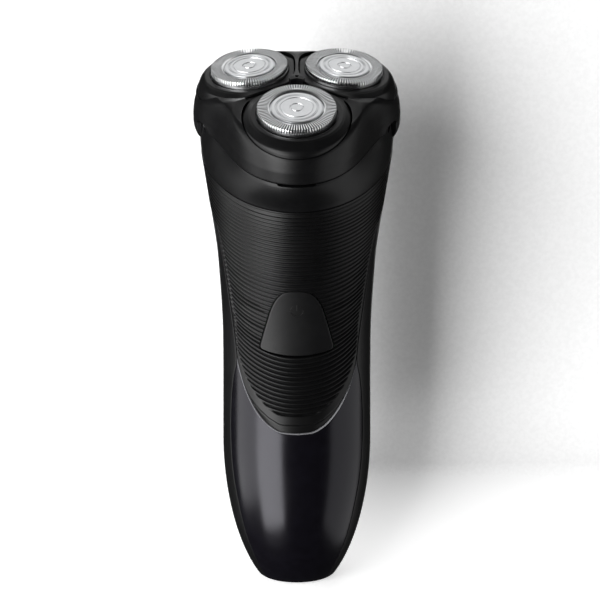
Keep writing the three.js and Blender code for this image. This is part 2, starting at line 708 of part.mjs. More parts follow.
const board = block(-12.5, 12.5, BOARD_Y, BOARD_Y + BOARD_THICK, 34, 93);
shaver.add(piece('circuit_board', board, GREEN));

const SWITCH_FRONT = -16;
const tact = cut(block(-3.2, 3.2, SWITCH_FRONT, BOARD_Y - GAP, 81.8, 88.2),
  deepRod(2, SWITCH_FRONT - 1, SWITCH_FRONT + 1.9, 0, 85, 12));
shaver.add(piece('tact_switch', tact, BLACK));
shaver.add(piece('switch_plunger', deepRod(1.6, -16.3, -14.9, 0, 85, 12), RUBBER));
shaver.add(piece('filter_capacitor', rod(3, 48, 60, -7.4, BOARD_Y + BOARD_THICK + 3.4, 16), CELL));
shaver.add(piece('transformer', block(1, 11.6, BOARD_Y + BOARD_THICK + GAP, -4.2, 47, 60), COPPER));

// Two-pin charging inlet sunk into the base.
function inletSocket() {
  const [sx, sy] = SOCKET_HALF;
  const [cx, cy] = SOCKET_CAVITY;
  const outer = block(-sx, sx, TAPER_LEAN - sy, TAPER_LEAN + sy, 0.4, SOCKET_HEIGHT);
  const cavity = block(-cx, cx, TAPER_LEAN - cy, TAPER_LEAN + cy, -1, SOCKET_DEPTH);
  const holes = [-1, 1].map((side) => rod(1.35, 0, 12, side * PIN_X, TAPER_LEAN, 12));
  return cut(outer, cavity, ...holes);
}
const PIN_X = 3.35;
shaver.add(piece('inlet_socket', inletSocket(), BLACK));
shaver.add(piece('inlet_pin_left', rod(1.05, 1.6, 13.5, -PIN_X, TAPER_LEAN, 12), BRASS));
shaver.add(piece('inlet_pin_right', rod(1.05, 1.6, 13.5, PIN_X, TAPER_LEAN, 12), BRASS));

// ---------------------------------------------------------------- shaving unit
const envelope = loft(ENVELOPE.map(([z, share]) => skirtLoop(z, share)), [0, 0, ENVELOPE_TIP]);
const lining = loft(LINING.map(([z, share]) => headLoop(z, share, WALL)), [0, 0, LINING_TIP]);
const unitShell = cut(envelope, lining);

// Upright region of one petal: its round outline inside the sector between two frame arms.
function petalRegion(lobe, grow) {
  const reach = 120;
  const corner = (ARM_HALF - grow) / Math.sin(rad(60));
  const tip = [corner * Math.cos(lobe.angle), corner * Math.sin(lobe.angle)];
  const side = (turn) => [
    tip[0] + reach * Math.cos(lobe.angle + rad(turn)),
    tip[1] + reach * Math.sin(lobe.angle + rad(turn)),
  ];
  const bottom = grow > 0 ? PETAL_BOTTOM - PETAL_DROP : PETAL_BOTTOM;
  const sector = prism([tip, side(-60), side(60)], bottom, 3);
  const outline = rod(lobe.petal + grow, bottom - 1, 4,
    CAP_RING * Math.cos(lobe.angle), CAP_RING * Math.sin(lobe.angle), 28);
  return common(sector, outline);
}

// Petal: the part of the shell round one cap, with two lugs and pivot pins underneath.
function petal(lobe) {
  const hole = rod(CAP_RADIUS + GAP, -6, 6, 0, 0, CAP_SIDES).applyMatrix4(capMatrix(lobe));
  const relief = rod(FLANGE_RADIUS + GAP, -9, -CAP_RISE - 1.5, 0, 0, CAP_SIDES);
  const plate = cut(common(unitShell, petalRegion(lobe, 0)), hole,
    relief.applyMatrix4(capMatrix(lobe)));
  const lugs = [-1, 1].map((side) => {
    const y0 = side > 0 ? PIVOT_REACH : -PIVOT_REACH - 1.2;
    const y1 = side > 0 ? PIVOT_REACH + 2.3 : -PIVOT_REACH - 2.3;
    const lug = block(-2, 2, y0, y0 + 1.2, PIVOT_DEPTH - 1.3, -CAP_RISE - 0.8);
    const pin = deepRod(0.6, Math.min(y0, y1), Math.max(y0, y1), 0, PIVOT_DEPTH, 10);
    return join(lug, pin).applyMatrix4(capMatrix(lobe));
  });
  return join(plate, ...lugs);
}

// Lower end of a side wing: a thin ear that hangs outside the collar.
function wingEar(side) {
  const levels = [UNIT_BOTTOM + 0.7, UNIT_BOTTOM, -16.6, -17.9, -19, WING_BOTTOM];
  const angles = [91, 98, 105, 112].map((a) => rad(side * a));
  const ringPoint = (radius, angle, z) => [radius * Math.sin(angle), -radius * Math.cos(angle), z];
  const inset = (z) => (z > UNIT_BOTTOM ? 0.4 : 0);
  const outer = (z, a) => headRadius(a) + wingOut(z, a) - inset(z);
  const inner = (z, a) => headRadius(a) - COLLAR_TUCK * wingShare(a) + WING_GAP;
  const loops = angles.map((a) => [
    ...levels.map((z) => ringPoint(outer(z, a), a, z)),
    ...levels.toReversed().map((z) => ringPoint(inner(z, a), a, z)),
  ]);
  return loft(loops);
}

// Finger notch under the front edge of each wing.
function sideNotch(inner) {
  const arch = (x0, x1) => crossRod(SIDE_NOTCH_HEIGHT, x0, x1, 0, 0, 20)
    .scale(1, SIDE_NOTCH_STRETCH, 1)
    .translate(0, SIDE_NOTCH_Y, UNIT_BOTTOM);
  return [arch(-40, -inner), arch(inner, 40)];
}

function unitFrame() {
  const holes = LOBES.map((lobe) => petalRegion(lobe, PETAL_GAP));
  const arm = block(-4.9, 4.9, 21.6, UNIT_HINGE_Y, UNIT_BOTTOM, -12.4);
  const knuckle = crossRod(KNUCKLE_RADIUS, -4.9, 4.9, UNIT_HINGE_Y, UNIT_HINGE_Z);
  const bore = crossRod(1, -6, 6, UNIT_HINGE_Y, UNIT_HINGE_Z, 12);
  const ears = [-1, 1].map(wingEar);
  const body = cut(join(cut(unitShell, ...holes), arm, knuckle, ...ears), bore);
  return cut(body, ...sideNotch(20));
}

const FRAME_TOP = -8.2;
const FRAME_BOTTOM = -9.6;

// Plate inside the unit that keeps the cutters in place and carries the petal pivots.
function retainingFrame() {
  const plate = loft([headLoop(FRAME_BOTTOM, 0.985, WALL + 0.4), headLoop(FRAME_TOP, 0.985, WALL + 0.8)]);
  const windows = LOBES.map((lobe) => rod(9.6, -12, -7,
    GEAR_RING * Math.cos(lobe.angle), GEAR_RING * Math.sin(lobe.angle), 16));
  const posts = LOBES.flatMap((lobe) => [-1, 1].map((side) => {
    const y0 = side > 0 ? PIVOT_REACH + 1.5 : -PIVOT_REACH - 2.4;
    const post = block(-1.7, 1.2, y0, y0 + 0.9, FRAME_TOP - 0.8, PIVOT_DEPTH - 0.1);
    const slot = block(-0.9, 0.9, y0 - 1, y0 + 2.1, PIVOT_DEPTH - 0.9, PIVOT_DEPTH + 2);
    return cut(post, slot).applyMatrix4(capMatrix(lobe));
  }));
  return join(cut(plate, ...windows), ...posts);
}

head.add(piece('unit_frame', unitFrame(), BLACK));
head.add(piece('retaining_frame', retainingFrame(), INNER));
for (const lobe of LOBES) head.add(piece(`petal_${lobe.name}`, petal(lobe), BLACK));

// ---------------------------------------------------------------- caps and cutters
const CUTTER_BLADES = 9;

// Slotted guard cap: rim, hair track and a dished floor for the centre disc.
function guardCap() {
  const cap = turned([
    [0, -1], [7.4, -1], [7.4, 0], [10.6, 0], [CAP_RADIUS, -0.4], [CAP_RADIUS, -3.9], [FLANGE_RADIUS, -3.9],
    [FLANGE_RADIUS, -4.4], [10.5, -4.4], [10.5, -0.5], [7.9, -0.5], [7.9, -1.6], [0, -1.6],
  ], CAP_SIDES);
  const slots = Array.from({ length: CAP_SLOTS }, (_, i) => {
    const slot = block(8.5, 12, -0.28, 0.28, -1.2, 1);
    return slot.rotateZ((2 * Math.PI * (i + 0.5)) / CAP_SLOTS);
  });
  return cut(cap, ...slots);
}

// Cutter: a thin dish with blades standing under the hair track.
function cutterRing() {
  const dish = turned([
    [3.5, -3.5], [10.1, -3.5], [10.1, -2.5], [3.5, -2.5], [3.5, -3.5],
  ], 16);
  const blades = Array.from({ length: CUTTER_BLADES }, (_, i) => {
    const blade = block(8.4, 9.9, -0.3, 0.3, -2.9, -0.8);
    return blade.rotateZ((2 * Math.PI * i) / CUTTER_BLADES);
  });
  return join(dish, ...blades);
}

const discProfile = [
  [0, -0.1], [2.3, -0.1], [2.6, -0.3], [5.4, -0.3], [5.7, -0.1], [7.1, -0.1], [7.1, -0.7], [0, -0.7],
];

// Plastic hub under the cutter, with the socket that the drive spindle turns.
function cutterHub() {
  const hub = rod(3.2, -6.2, -2.2, 0, 0, 18);
  return cut(hub, rod(1.9, -7, -4.6, 0, 0, 12));
}

for (const lobe of LOBES) {
  const group = capGroup(lobe);
  group.add(piece(`guard_${lobe.name}`, guardCap(), STEEL));
  group.add(piece(`guard_disc_${lobe.name}`, turned(discProfile, CAP_SIDES), SATIN));
  group.add(piece(`cutter_ring_${lobe.name}`, cutterRing(), STEEL));
  group.add(piece(`cutter_hub_${lobe.name}`, cutterHub(), WHITE));
}

shaver.position.y = CENTRE_SHIFT;
const part = new THREE.Group();
part.name = 'rotary_shaver';
part.add(shaver);

export default part;
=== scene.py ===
import json
import math

import bmesh
import bpy
import numpy as np
from mathutils import Matrix, Vector
from mathutils.kdtree import KDTree


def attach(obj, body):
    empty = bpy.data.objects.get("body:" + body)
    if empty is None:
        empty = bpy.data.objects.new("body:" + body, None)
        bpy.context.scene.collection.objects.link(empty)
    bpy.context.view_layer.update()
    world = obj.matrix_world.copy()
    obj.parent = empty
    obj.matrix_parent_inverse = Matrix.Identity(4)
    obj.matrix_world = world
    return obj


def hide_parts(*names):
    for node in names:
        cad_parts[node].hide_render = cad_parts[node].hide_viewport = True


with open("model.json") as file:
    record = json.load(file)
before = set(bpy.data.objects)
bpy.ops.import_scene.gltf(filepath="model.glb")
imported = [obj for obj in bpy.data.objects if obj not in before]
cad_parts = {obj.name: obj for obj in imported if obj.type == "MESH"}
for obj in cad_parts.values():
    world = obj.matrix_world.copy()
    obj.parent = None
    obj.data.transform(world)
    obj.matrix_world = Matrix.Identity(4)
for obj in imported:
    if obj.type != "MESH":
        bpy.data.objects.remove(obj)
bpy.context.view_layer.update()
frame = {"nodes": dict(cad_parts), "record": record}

# ---------------------------------------------------------------- camera
LENS_MM = 110.76
CAMERA_PITCH = math.radians(15.5)
CAMERA_PLACE = (0, -0.51818, 0.23299)
CAMERA_SHIFT = 0.0053
scene = bpy.context.scene
camera_data = bpy.data.cameras.new("camera")
camera_data.lens = LENS_MM
camera_data.sensor_width = 36
camera_data.shift_x = CAMERA_SHIFT
camera_data.clip_start = 0.01
camera = bpy.data.objects.new("camera", camera_data)
camera.location = CAMERA_PLACE
camera.rotation_euler = (math.pi / 2 - CAMERA_PITCH, 0, 0)
scene.collection.objects.link(camera)
scene.camera = camera
scene.view_settings.view_transform = "Standard"

# ---------------------------------------------------------------- dimensions
CENTRE_SHIFT = 9.13
HEAD_TILT = math.radians(21)
HEAD_ORIGIN = np.array([0, -12, 154.5])
CAP_RING = 15.6
CAP_TILT = math.radians(5)
CAP_RISE = 2.1
CAP_HOLE = 11.3
WALL = 2.0
GRIP_TOP = 131.2
GRIP_HALF = 98.0
UNIT_BOTTOM = -14.65
COLLAR_TOP = -14.8
COLLAR_BOTTOM = -24.75
# Heights along the head axis of the last two stations below.
COLLAR_SECTIONS = (-24.63, -15.6)
HINGE_Y, HINGE_Z = 25.1, -15.6
# Direction of each petal in plan, in degrees, and its reach from the middle of its cap.
LOBES = {"front": (-90, 15.85), "right": (30, 14.9), "left": (150, 14.9)}
FRONT_SQUEEZE = 0.055
ARM_HALF = 0.6
PETAL_GAP = 0.3
PETAL_RIM, PETAL_FOOT, POCKET_FLOOR = -7.35, -7.75, -8.4
# Fall of a petal's face outside the ring round its cap: a small step, then a slope.
RING_EDGE, RING_STEP, RING_SLOPE = 13.3, 0.3, 0.55

# Height, spine y, lean in degrees, half width, reach to the front, reach to the back, how far
# the widest line lies behind the spine, and share of the head's own outline.
STATIONS = np.array([
    [44, 0, 0, 22.25, 20.0, 20.5, 0, 0],
    [75, 0.3, 0, 22.0, 19.8, 20.5, 0, 0],
    [100, -0.6, 6.5, 23.15, 21.6, 21.2, 1, 0],
    [116, -1.8, 14, 25.3, 25.2, 22.0, 3, 0],
    [131.5, -3.18, 21, 27.85, 30.4, 23.0, 5, 0.1],
    [139.94, -6.41, 21, 29.5, 32.5, 23.2, 4, 1],
])
TAPER_START, TAPER_SIDE, TAPER_DEPTH, TAPER_LEAN = 44, 50.5, 48, -2


def curve(points):
    """Smooth function through (x, y) points that never overshoots between them."""
    x, y = np.array(points, float).T
    slope = np.diff(y) / np.diff(x)
    tangent = np.zeros_like(y)
    tangent[0], tangent[-1] = slope[0], slope[-1]
    for i in range(1, len(y) - 1):
        if slope[i - 1] * slope[i] > 0:
            tangent[i] = 2 * slope[i - 1] * slope[i] / (slope[i - 1] + slope[i])

    def value(q):
        q = np.asarray(q, float)
        i = np.clip(np.searchsorted(x, q, side="right") - 1, 0, len(x) - 2)
        w = x[i + 1] - x[i]
        t = np.clip((q - x[i]) / w, 0, 1)
        return ((1 + 2 * t) * (1 - t) ** 2 * y[i] + t * t * (3 - 2 * t) * y[i + 1]
                + t * (1 - t) ** 2 * w * tangent[i] + t * t * (t - 1) * w * tangent[i + 1])

    return value


STATION_CURVES = [curve(STATIONS[:, [0, k]]) for k in range(1, 8)]
# Seam between cover or grip and housing: degrees from the front, by height.
SIDE_SEAM = curve([
    (0, 51), (8.5, 51.9), (16.3, 54.3), (25.5, 56), (34.5, 58.8), (42, 60.5), (51.2, 62),
    (60, 60.5), (66, 57.5), (72, 53), (75.4, 53.9), (85.1, 58.3), (95.5, 63), (110.3, 70.4),
    (118.5, 84), (127.5, 98), (140, 98)])
# Lower edge of the grip: height, by degrees from the front.
GRIP_EDGE = curve([
    (0, 51.8), (11, 52.1), (21, 53.8), (29.3, 56.5), (36.7, 59.9), (43.2, 63.8), (49.8, 69.1),
    (53, 72.5), (53.9, 75.4), (58.3, 85.1), (63, 95.5), (70.4, 110.3), (84, 118.5), (98, 127.5)])
# Height of the unit's envelope along the head axis, by share of the outline radius.
DOME = curve([(0, 0.9), (0.5, -0.6), (0.8, -1.7), (0.9, -2.7), (0.93, -3.5), (0.955, -4.6),
              (0.975, -6.1), (0.988, -7.8), (1.0, -11.0)])


def smoothstep(low, high, x):
    """Share from 0 at low to 1 at high, level at both ends."""
    t = np.clip((np.asarray(x, float) - low) / (high - low), 0, 1)
    return t * t * (3 - 2 * t)


# Standing out of the skirt's side wings, by height along the head axis.
WING_OUT = curve([(-19.7, 0.1), (-18.7, 0.75), (-17.3, 1.12), (-15.3, 1.12), (-11, 0.65),
                  (-7.7, 0.3), (-5.6, 0)])
WING_BOTTOM = -19.7
COLLAR_TUCK = 0.65
SIDE_NOTCH_Y, SIDE_NOTCH_HEIGHT, SIDE_NOTCH_HALF = -2.6, 1.85, 3.0


def wing_share(angle):
    """How much of the side wing stands out at an angle from the front."""
    side = np.degrees(np.arccos(np.cos(angle)))
    return smoothstep(70, 90, side) * (1 - smoothstep(112, 138, side))


def head_radius(angle):
    """Three-lobed outline of the head in plan, by angle from the front."""
    return (27.66 + 0.99 * np.cos(angle) + 0.17 * np.cos(2 * angle)
            + 3.73 * np.cos(3 * angle) - 0.15 * np.cos(4 * angle))


def handle_point(angle, z, inset=0.0):
    """Points on the handle at an angle (radians) from the front, moved inward by inset."""
    angle, z, inset = np.broadcast_arrays(*(np.asarray(v, float) for v in (angle, z, inset)))
    drop = np.clip(TAPER_START - z, 0, TAPER_START)
    spine, tilt, width, front, back, wide, share = (f(np.maximum(z, TAPER_START))
                                                    for f in STATION_CURVES)
    width = width * np.sqrt(1 - (drop / TAPER_SIDE) ** 2)
    depth = np.sqrt(1 - (drop / TAPER_DEPTH) ** 2)
    spine = spine + TAPER_LEAN * (drop / TAPER_START) ** 2
    c, s = np.cos(angle), np.sin(angle)
    reach = np.where(c > 0, front * depth - inset + wide, back * depth - inset - wide)
    radius = head_radius(angle) - COLLAR_TUCK * wing_share(angle) - inset
    across = (1 - share) * (width - inset) * s + share * radius * s
    along = (1 - share) * (wide - reach * c) - share * radius * c
    lean = np.radians(tilt)
    return np.stack([across, spine + along * np.cos(lean), z + along * np.sin(lean)], -1)


def section_at(head_z):
    """Handle section that lies at a height along the head axis."""
    low, high = STATIONS[-2:, 0]
    return low + (high - low) * (head_z - COLLAR_SECTIONS[0]) / (COLLAR_SECTIONS[1] - COLLAR_SECTIONS[0])


HEAD = Matrix.Translation(HEAD_ORIGIN) @ Matrix.Rotation(HEAD_TILT, 4, "X")


def cap_matrix(lobe):
    """Frame of a cap, in millimetres: origin in the middle of its face, Z out of it."""
    turn = Matrix.Rotation(math.radians(LOBES[lobe][0]), 4, "Z")
    return HEAD @ turn @ Matrix.Translation((CAP_RING, 0, 0)) @ Matrix.Rotation(CAP_TILT, 4, "Y")


# ---------------------------------------------------------------- mesh building
def make(name, points, faces, matrix=None):
    """Mesh object from points and faces, with doubles merged and normals outward."""
    mesh = bpy.data.meshes.new(name)
    mesh.from_pydata(np.asarray(points, float).reshape(-1, 3).tolist(), [], faces)
    if matrix is not None:
        mesh.transform(matrix)
    work = bmesh.new()
    work.from_mesh(mesh)
    bmesh.ops.remove_doubles(work, verts=work.verts, dist=1e-4)
    bmesh.ops.dissolve_degenerate(work, edges=work.edges, dist=1e-5)
    bmesh.ops.recalc_face_normals(work, faces=work.faces)
    work.to_mesh(mesh)
    work.free()
    obj = bpy.data.objects.new(name, mesh)
    scene.collection.objects.link(obj)
    return obj


def grid_faces(nu, nv, start=0):
    """Quads of a grid of nu by nv points, numbered from start."""
    faces = []
    for i in range(nu - 1):
        a, b = start + i * nv, start + (i + 1) * nv
        faces += [(a + j, b + j, b + j + 1, a + j + 1) for j in range(nv - 1)]
    return faces


def shell(name, outer, inner):
    """Closed panel between two point grids of shape (rows, columns, 3)."""
    nu, nv = outer.shape[:2]
    n = nu * nv
    faces = grid_faces(nu, nv) + grid_faces(nu, nv, n)
    rim = [i * nv for i in range(nu)] + [(nu - 1) * nv + j for j in range(1, nv)]
    rim += [i * nv + nv - 1 for i in range(nu - 2, -1, -1)] + list(range(nv - 2, 0, -1))
    faces += [(a, b, b + n, a + n) for a, b in zip(rim, rim[1:] + rim[:1])]
    return make(name, np.concatenate([outer.reshape(-1, 3), inner.reshape(-1, 3)]), faces)


def rings(name, loops, closed=False, matrix=None):
    """Solid through equal loops: closed joins the last to the first, else fans cap both ends."""
    loops = [np.asarray(loop, float) for loop in loops]
    n, m = len(loops[0]), len(loops)
    points = np.concatenate(loops)
    faces = []
    for k in range(m if closed else m - 1):
        a, b = k * n, ((k + 1) % m) * n
        faces += [(a + i, a + (i + 1) % n, b + (i + 1) % n, b + i) for i in range(n)]
    if not closed:
        ends = np.array([loops[0].mean(0), loops[-1].mean(0)])
        points = np.concatenate([points, ends])
        for start, tip in ((0, n * m), (n * (m - 1), n * m + 1)):
            faces += [(start + i, start + (i + 1) % n, tip) for i in range(n)]
    return make(name, points, faces, matrix)


def spin(name, profile, sides, matrix):
    """Turned solid about Z from (radius, z) points; it closes on the axis or on itself."""
    on_axis = profile[0][0] == 0 and profile[-1][0] == 0
    body = profile[1:-1] if on_axis else profile
    angles = np.linspace(0, 2 * np.pi, sides, endpoint=False)
    loops = [np.stack([r * np.cos(angles), r * np.sin(angles), np.full(sides, z)], -1)
             for r, z in body]
    return rings(name, loops, not on_axis, matrix)


def box(name, x0, x1, y0, y1, z0, z1, matrix):
    """Box between two corners in the frame of a matrix."""
    loop = np.array([(x0, y0), (x1, y0), (x1, y1), (x0, y1)])
    return rings(name, [np.c_[loop, np.full(4, z)] for z in (z0, z1)], False, matrix)


def tube(name, path, radius, sides=8):
    """Round bar along a path of points."""
    path = np.asarray(path, float)
    along = np.gradient(path, axis=0)
    along /= np.linalg.norm(along, axis=1)[:, None]
    # No path runs this way.
    up = np.array([0.31, 0.22, 0.92])
    loops = []
    for p, t in zip(path, along):
        a = np.cross(t, up)
        a /= np.linalg.norm(a)
        b = np.cross(t, a)
        turn = np.linspace(0, 2 * np.pi, sides, endpoint=False)[:, None]
        loops.append(p + radius * (np.cos(turn) * a + np.sin(turn) * b))
    return rings(name, loops)


def bake(obj):
    """Applies the modifiers of obj to its mesh."""
    bpy.context.view_layer.update()
    graph = bpy.context.evaluated_depsgraph_get()
    mesh = bpy.data.meshes.new_from_object(obj.evaluated_get(graph))
    obj.modifiers.clear()
    old, obj.data = obj.data, mesh
    bpy.data.meshes.remove(old)


def carve(obj, *cutters):
    """Cuts the cutters out of obj and removes them."""
    for cutter in cutters:
        modifier = obj.modifiers.new("carve", "BOOLEAN")
        modifier.operation = "DIFFERENCE"
        modifier.solver = "EXACT"
        modifier.object = cutter
    bake(obj)
    for cutter in cutters:
        bpy.data.objects.remove(cutter)


def join(first, *others):
    """Adds the meshes of the others to the first."""
    work = bmesh.new()
    for obj in (first, *others):
        work.from_mesh(obj.data)
    work.to_mesh(first.data)
    work.free()
    for obj in others:
        bpy.data.objects.remove(obj)
    return first


def soften(obj, width, angle):
    """Rounds the edges sharper than an angle in degrees; the width is in millimetres."""
    modifier = obj.modifiers.new("soften", "BEVEL")
    modifier.width = width
    modifier.segments = 2
    modifier.limit_method = "ANGLE"
    modifier.angle_limit = math.radians(angle)
    modifier.use_clamp_overlap = True
    bake(obj)


ROW_FRAME = Matrix.Scale(0.001, 4) @ Matrix.Translation((0, CENTRE_SHIFT, 0))


def place(obj, body, slot, node, sharp=32, material=None):
    """Moves a finished piece into the row frame, smooths it and ties it to its CAD body."""
    obj.data.transform(ROW_FRAME)
    obj.data.polygons.foreach_set("use_smooth", [True] * len(obj.data.polygons))
    obj.data.set_sharp_from_angle(angle=math.radians(sharp))
    obj.data.materials.clear()
    obj.data.materials.append(material or MATERIALS[slot])
    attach(obj, body)
    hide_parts(node)


# ---------------------------------------------------------------- materials
# Share of colour left on the slot walls of a guard: painted shade for the slots.
SLOT_WALL_SHADE = 0.06
# Colour of the painted highlight on the cover's top chamfer.
CHAMFER_HIGHLIGHT_COLOUR = (0.2, 0.2, 0.21, 1)


class Nodes:
    """Short helper for building a node material."""

    def __init__(self, name):
        self.wrap(bpy.data.materials.new(name))

    @classmethod
    def of(cls, material):
        """Helper for a material that is already there."""
        nodes = cls.__new__(cls)
        nodes.wrap(material)
        return nodes

    def wrap(self, material):
        self.material = material
        self.material.use_nodes = True
        self.tree = self.material.node_tree
        self.shader = self.tree.nodes["Principled BSDF"]
        self.position = self.add("ShaderNodeTexCoord").outputs["Object"]

    def add(self, kind, **values):
        node = self.tree.nodes.new(kind)
        for key, value in values.items():
            if hasattr(node, key):
                setattr(node, key, value)
            else:
                node.inputs[key.replace("_", " ")].default_value = value
        return node

    def link(self, source, target):
        self.tree.links.new(source, target)

    def noise(self, scale, detail, rough=0.5):
        node = self.add("ShaderNodeTexNoise", Scale=scale, Detail=detail, Roughness=rough)
        self.link(self.position, node.inputs["Vector"])
        return node.outputs["Fac"]

    def ramp(self, source, low, high):
        """Colour from low to high over the middle of the source's range."""
        node = self.add("ShaderNodeValToRGB")
        for element, at, colour in zip(node.color_ramp.elements, (0.35, 0.65), (low, high)):
            element.position = at
            element.color = (*colour, 1)
        self.link(source, node.inputs["Fac"])
        return node.outputs["Color"]

    def range(self, source, low, high, start=0.3, end=0.7):
        """Number from low to high while the source goes from start to end."""
        node = self.add("ShaderNodeMapRange")
        node.inputs["From Min"].default_value = start
        node.inputs["From Max"].default_value = end
        node.inputs["To Min"].default_value = low
        node.inputs["To Max"].default_value = high
        self.link(source, node.inputs["Value"])
        return node.outputs["Result"]

    def height_share(self):
        """How far a face looks up, as the height of its unit normal."""
        split = self.add("ShaderNodeSeparateXYZ")
        self.link(self.add("ShaderNodeNewGeometry").outputs["Normal"], split.inputs["Vector"])
        return split.outputs["Z"]

    def bump(self, source, strength, distance, after=None):
        node = self.add("ShaderNodeBump")
        node.inputs["Strength"].default_value = strength
        node.inputs["Distance"].default_value = distance
        self.link(source, node.inputs["Height"])
        if after is not None:
            self.link(after, node.inputs["Normal"])
        self.link(node.outputs["Normal"], self.shader.inputs["Normal"])
        return node.outputs["Normal"]

    def vector(self, operation, first, second=None):
        node = self.add("ShaderNodeVectorMath", operation=operation)
        self.link(first, node.inputs[0])
        if isinstance(second, Vector):
            node.inputs[1].default_value = second
        elif second is not None:
            self.link(second, node.inputs[1])
        return node.outputs["Value" if operation == "DOT_PRODUCT" else "Vector"]

    def paint_slot_shade(self, colour, turned):
        """Painted shade: colour made dark on faces that look along the turning direction of an axis."""
        out = self.vector("SUBTRACT", self.position, turned.to_translation())
        axis = (turned.to_3x3() @ Vector((0, 0, 1))).normalized()
        round_ = self.vector("NORMALIZE", self.vector("CROSS_PRODUCT", out, axis))
        normal = self.add("ShaderNodeNewGeometry").outputs["True Normal"]
        facing = self.add("ShaderNodeMath", operation="ABSOLUTE")
        self.link(self.vector("DOT_PRODUCT", normal, round_), facing.inputs[0])
        scale = self.add("ShaderNodeVectorMath", operation="SCALE")
        self.link(colour, scale.inputs[0])
        share = self.range(facing.outputs[0], 1, SLOT_WALL_SHADE, 0.5, 0.8)
        self.link(share, scale.inputs["Scale"])
        return scale.outputs["Vector"]


def finish_of(name, dark, light, rough, grain, bump, metal=0.0, specular=0.5, smudge=60,
              tint=(1, 1, 1)):
    """Moulded or metal finish: mottled colour, uneven gloss and a fine surface grain. Rough
    holds the least and the most roughness; grain and smudge are the scales of the noises."""
    n = Nodes(name)
    n.link(n.ramp(n.noise(smudge * 6, 3), dark, light), n.shader.inputs["Base Color"])
    n.link(n.range(n.noise(smudge, 4, 0.6), *rough), n.shader.inputs["Roughness"])
    n.shader.inputs["Metallic"].default_value = metal
    n.shader.inputs["Specular IOR Level"].default_value = specular
    n.shader.inputs["Specular Tint"].default_value = (*tint, 1)
    fine = n.bump(n.noise(grain, 2), bump, 0.00005)
    n.bump(n.noise(smudge * 3, 1), bump * 0.4, 0.00008, fine)
    return n.material


def brushed(name, dark, light, rough, turned, bump=0.25, slotted=False):
    """Metal with fine turning marks round an axis; turned is the matrix of that axis, in metres.
    A slotted ring gets painted shade: its colour is made dark on the walls where its faces look round
    the ring."""
    n = Nodes(name)
    mapping = n.add("ShaderNodeMapping", vector_type="TEXTURE")
    mapping.inputs["Location"].default_value = turned.to_translation()
    mapping.inputs["Rotation"].default_value = turned.to_euler()
    n.link(n.position, mapping.inputs["Vector"])
    split = n.add("ShaderNodeSeparateXYZ")
    n.link(mapping.outputs["Vector"], split.inputs["Vector"])
    squares = []
    for axis in "XY":
        power = n.add("ShaderNodeMath", operation="MULTIPLY")
        n.link(split.outputs[axis], power.inputs[0])
        n.link(split.outputs[axis], power.inputs[1])
        squares.append(power.outputs[0])
    total = n.add("ShaderNodeMath", operation="ADD")
    n.link(squares[0], total.inputs[0])
    n.link(squares[1], total.inputs[1])
    radius = n.add("ShaderNodeMath", operation="SQRT")
    n.link(total.outputs[0], radius.inputs[0])
    marks = n.add("ShaderNodeTexNoise", noise_dimensions="1D", Scale=9000.0, Detail=3.0)
    n.link(radius.outputs[0], marks.inputs["W"])
    colour = n.ramp(marks.outputs["Fac"], dark, light)
    # Painted shade on the slot walls.
    if slotted:
        colour = n.paint_slot_shade(colour, turned)
    n.link(colour, n.shader.inputs["Base Color"])
    n.link(n.range(n.noise(500, 3), *rough), n.shader.inputs["Roughness"])
    n.shader.inputs["Metallic"].default_value = 1.0
    n.bump(marks.outputs["Fac"], bump, 0.00002)
    return n.material


def paint_chamfer_highlight(material):
    """Painted highlight: pale line on the faces of the cover that look up, which are its top chamfer."""
    n = Nodes.of(material)
    base = n.shader.inputs["Base Color"]
    blend = n.add("ShaderNodeMix", data_type="RGBA")
    first, second, result = blend.inputs[6], blend.inputs[7], blend.outputs[2]
    n.link(n.range(n.height_share(), 0, 1, 0.1, 0.25), blend.inputs["Factor"])
    n.link(base.links[0].from_socket, first)
    second.default_value = CHAMFER_HIGHLIGHT_COLOUR
    n.link(result, base)


def cap_row_matrix(lobe):
    """Cap frame in the row frame, in metres."""
    m = ROW_FRAME @ cap_matrix(lobe)
    return Matrix.LocRotScale(m.to_translation(), m.to_quaternion(), None)


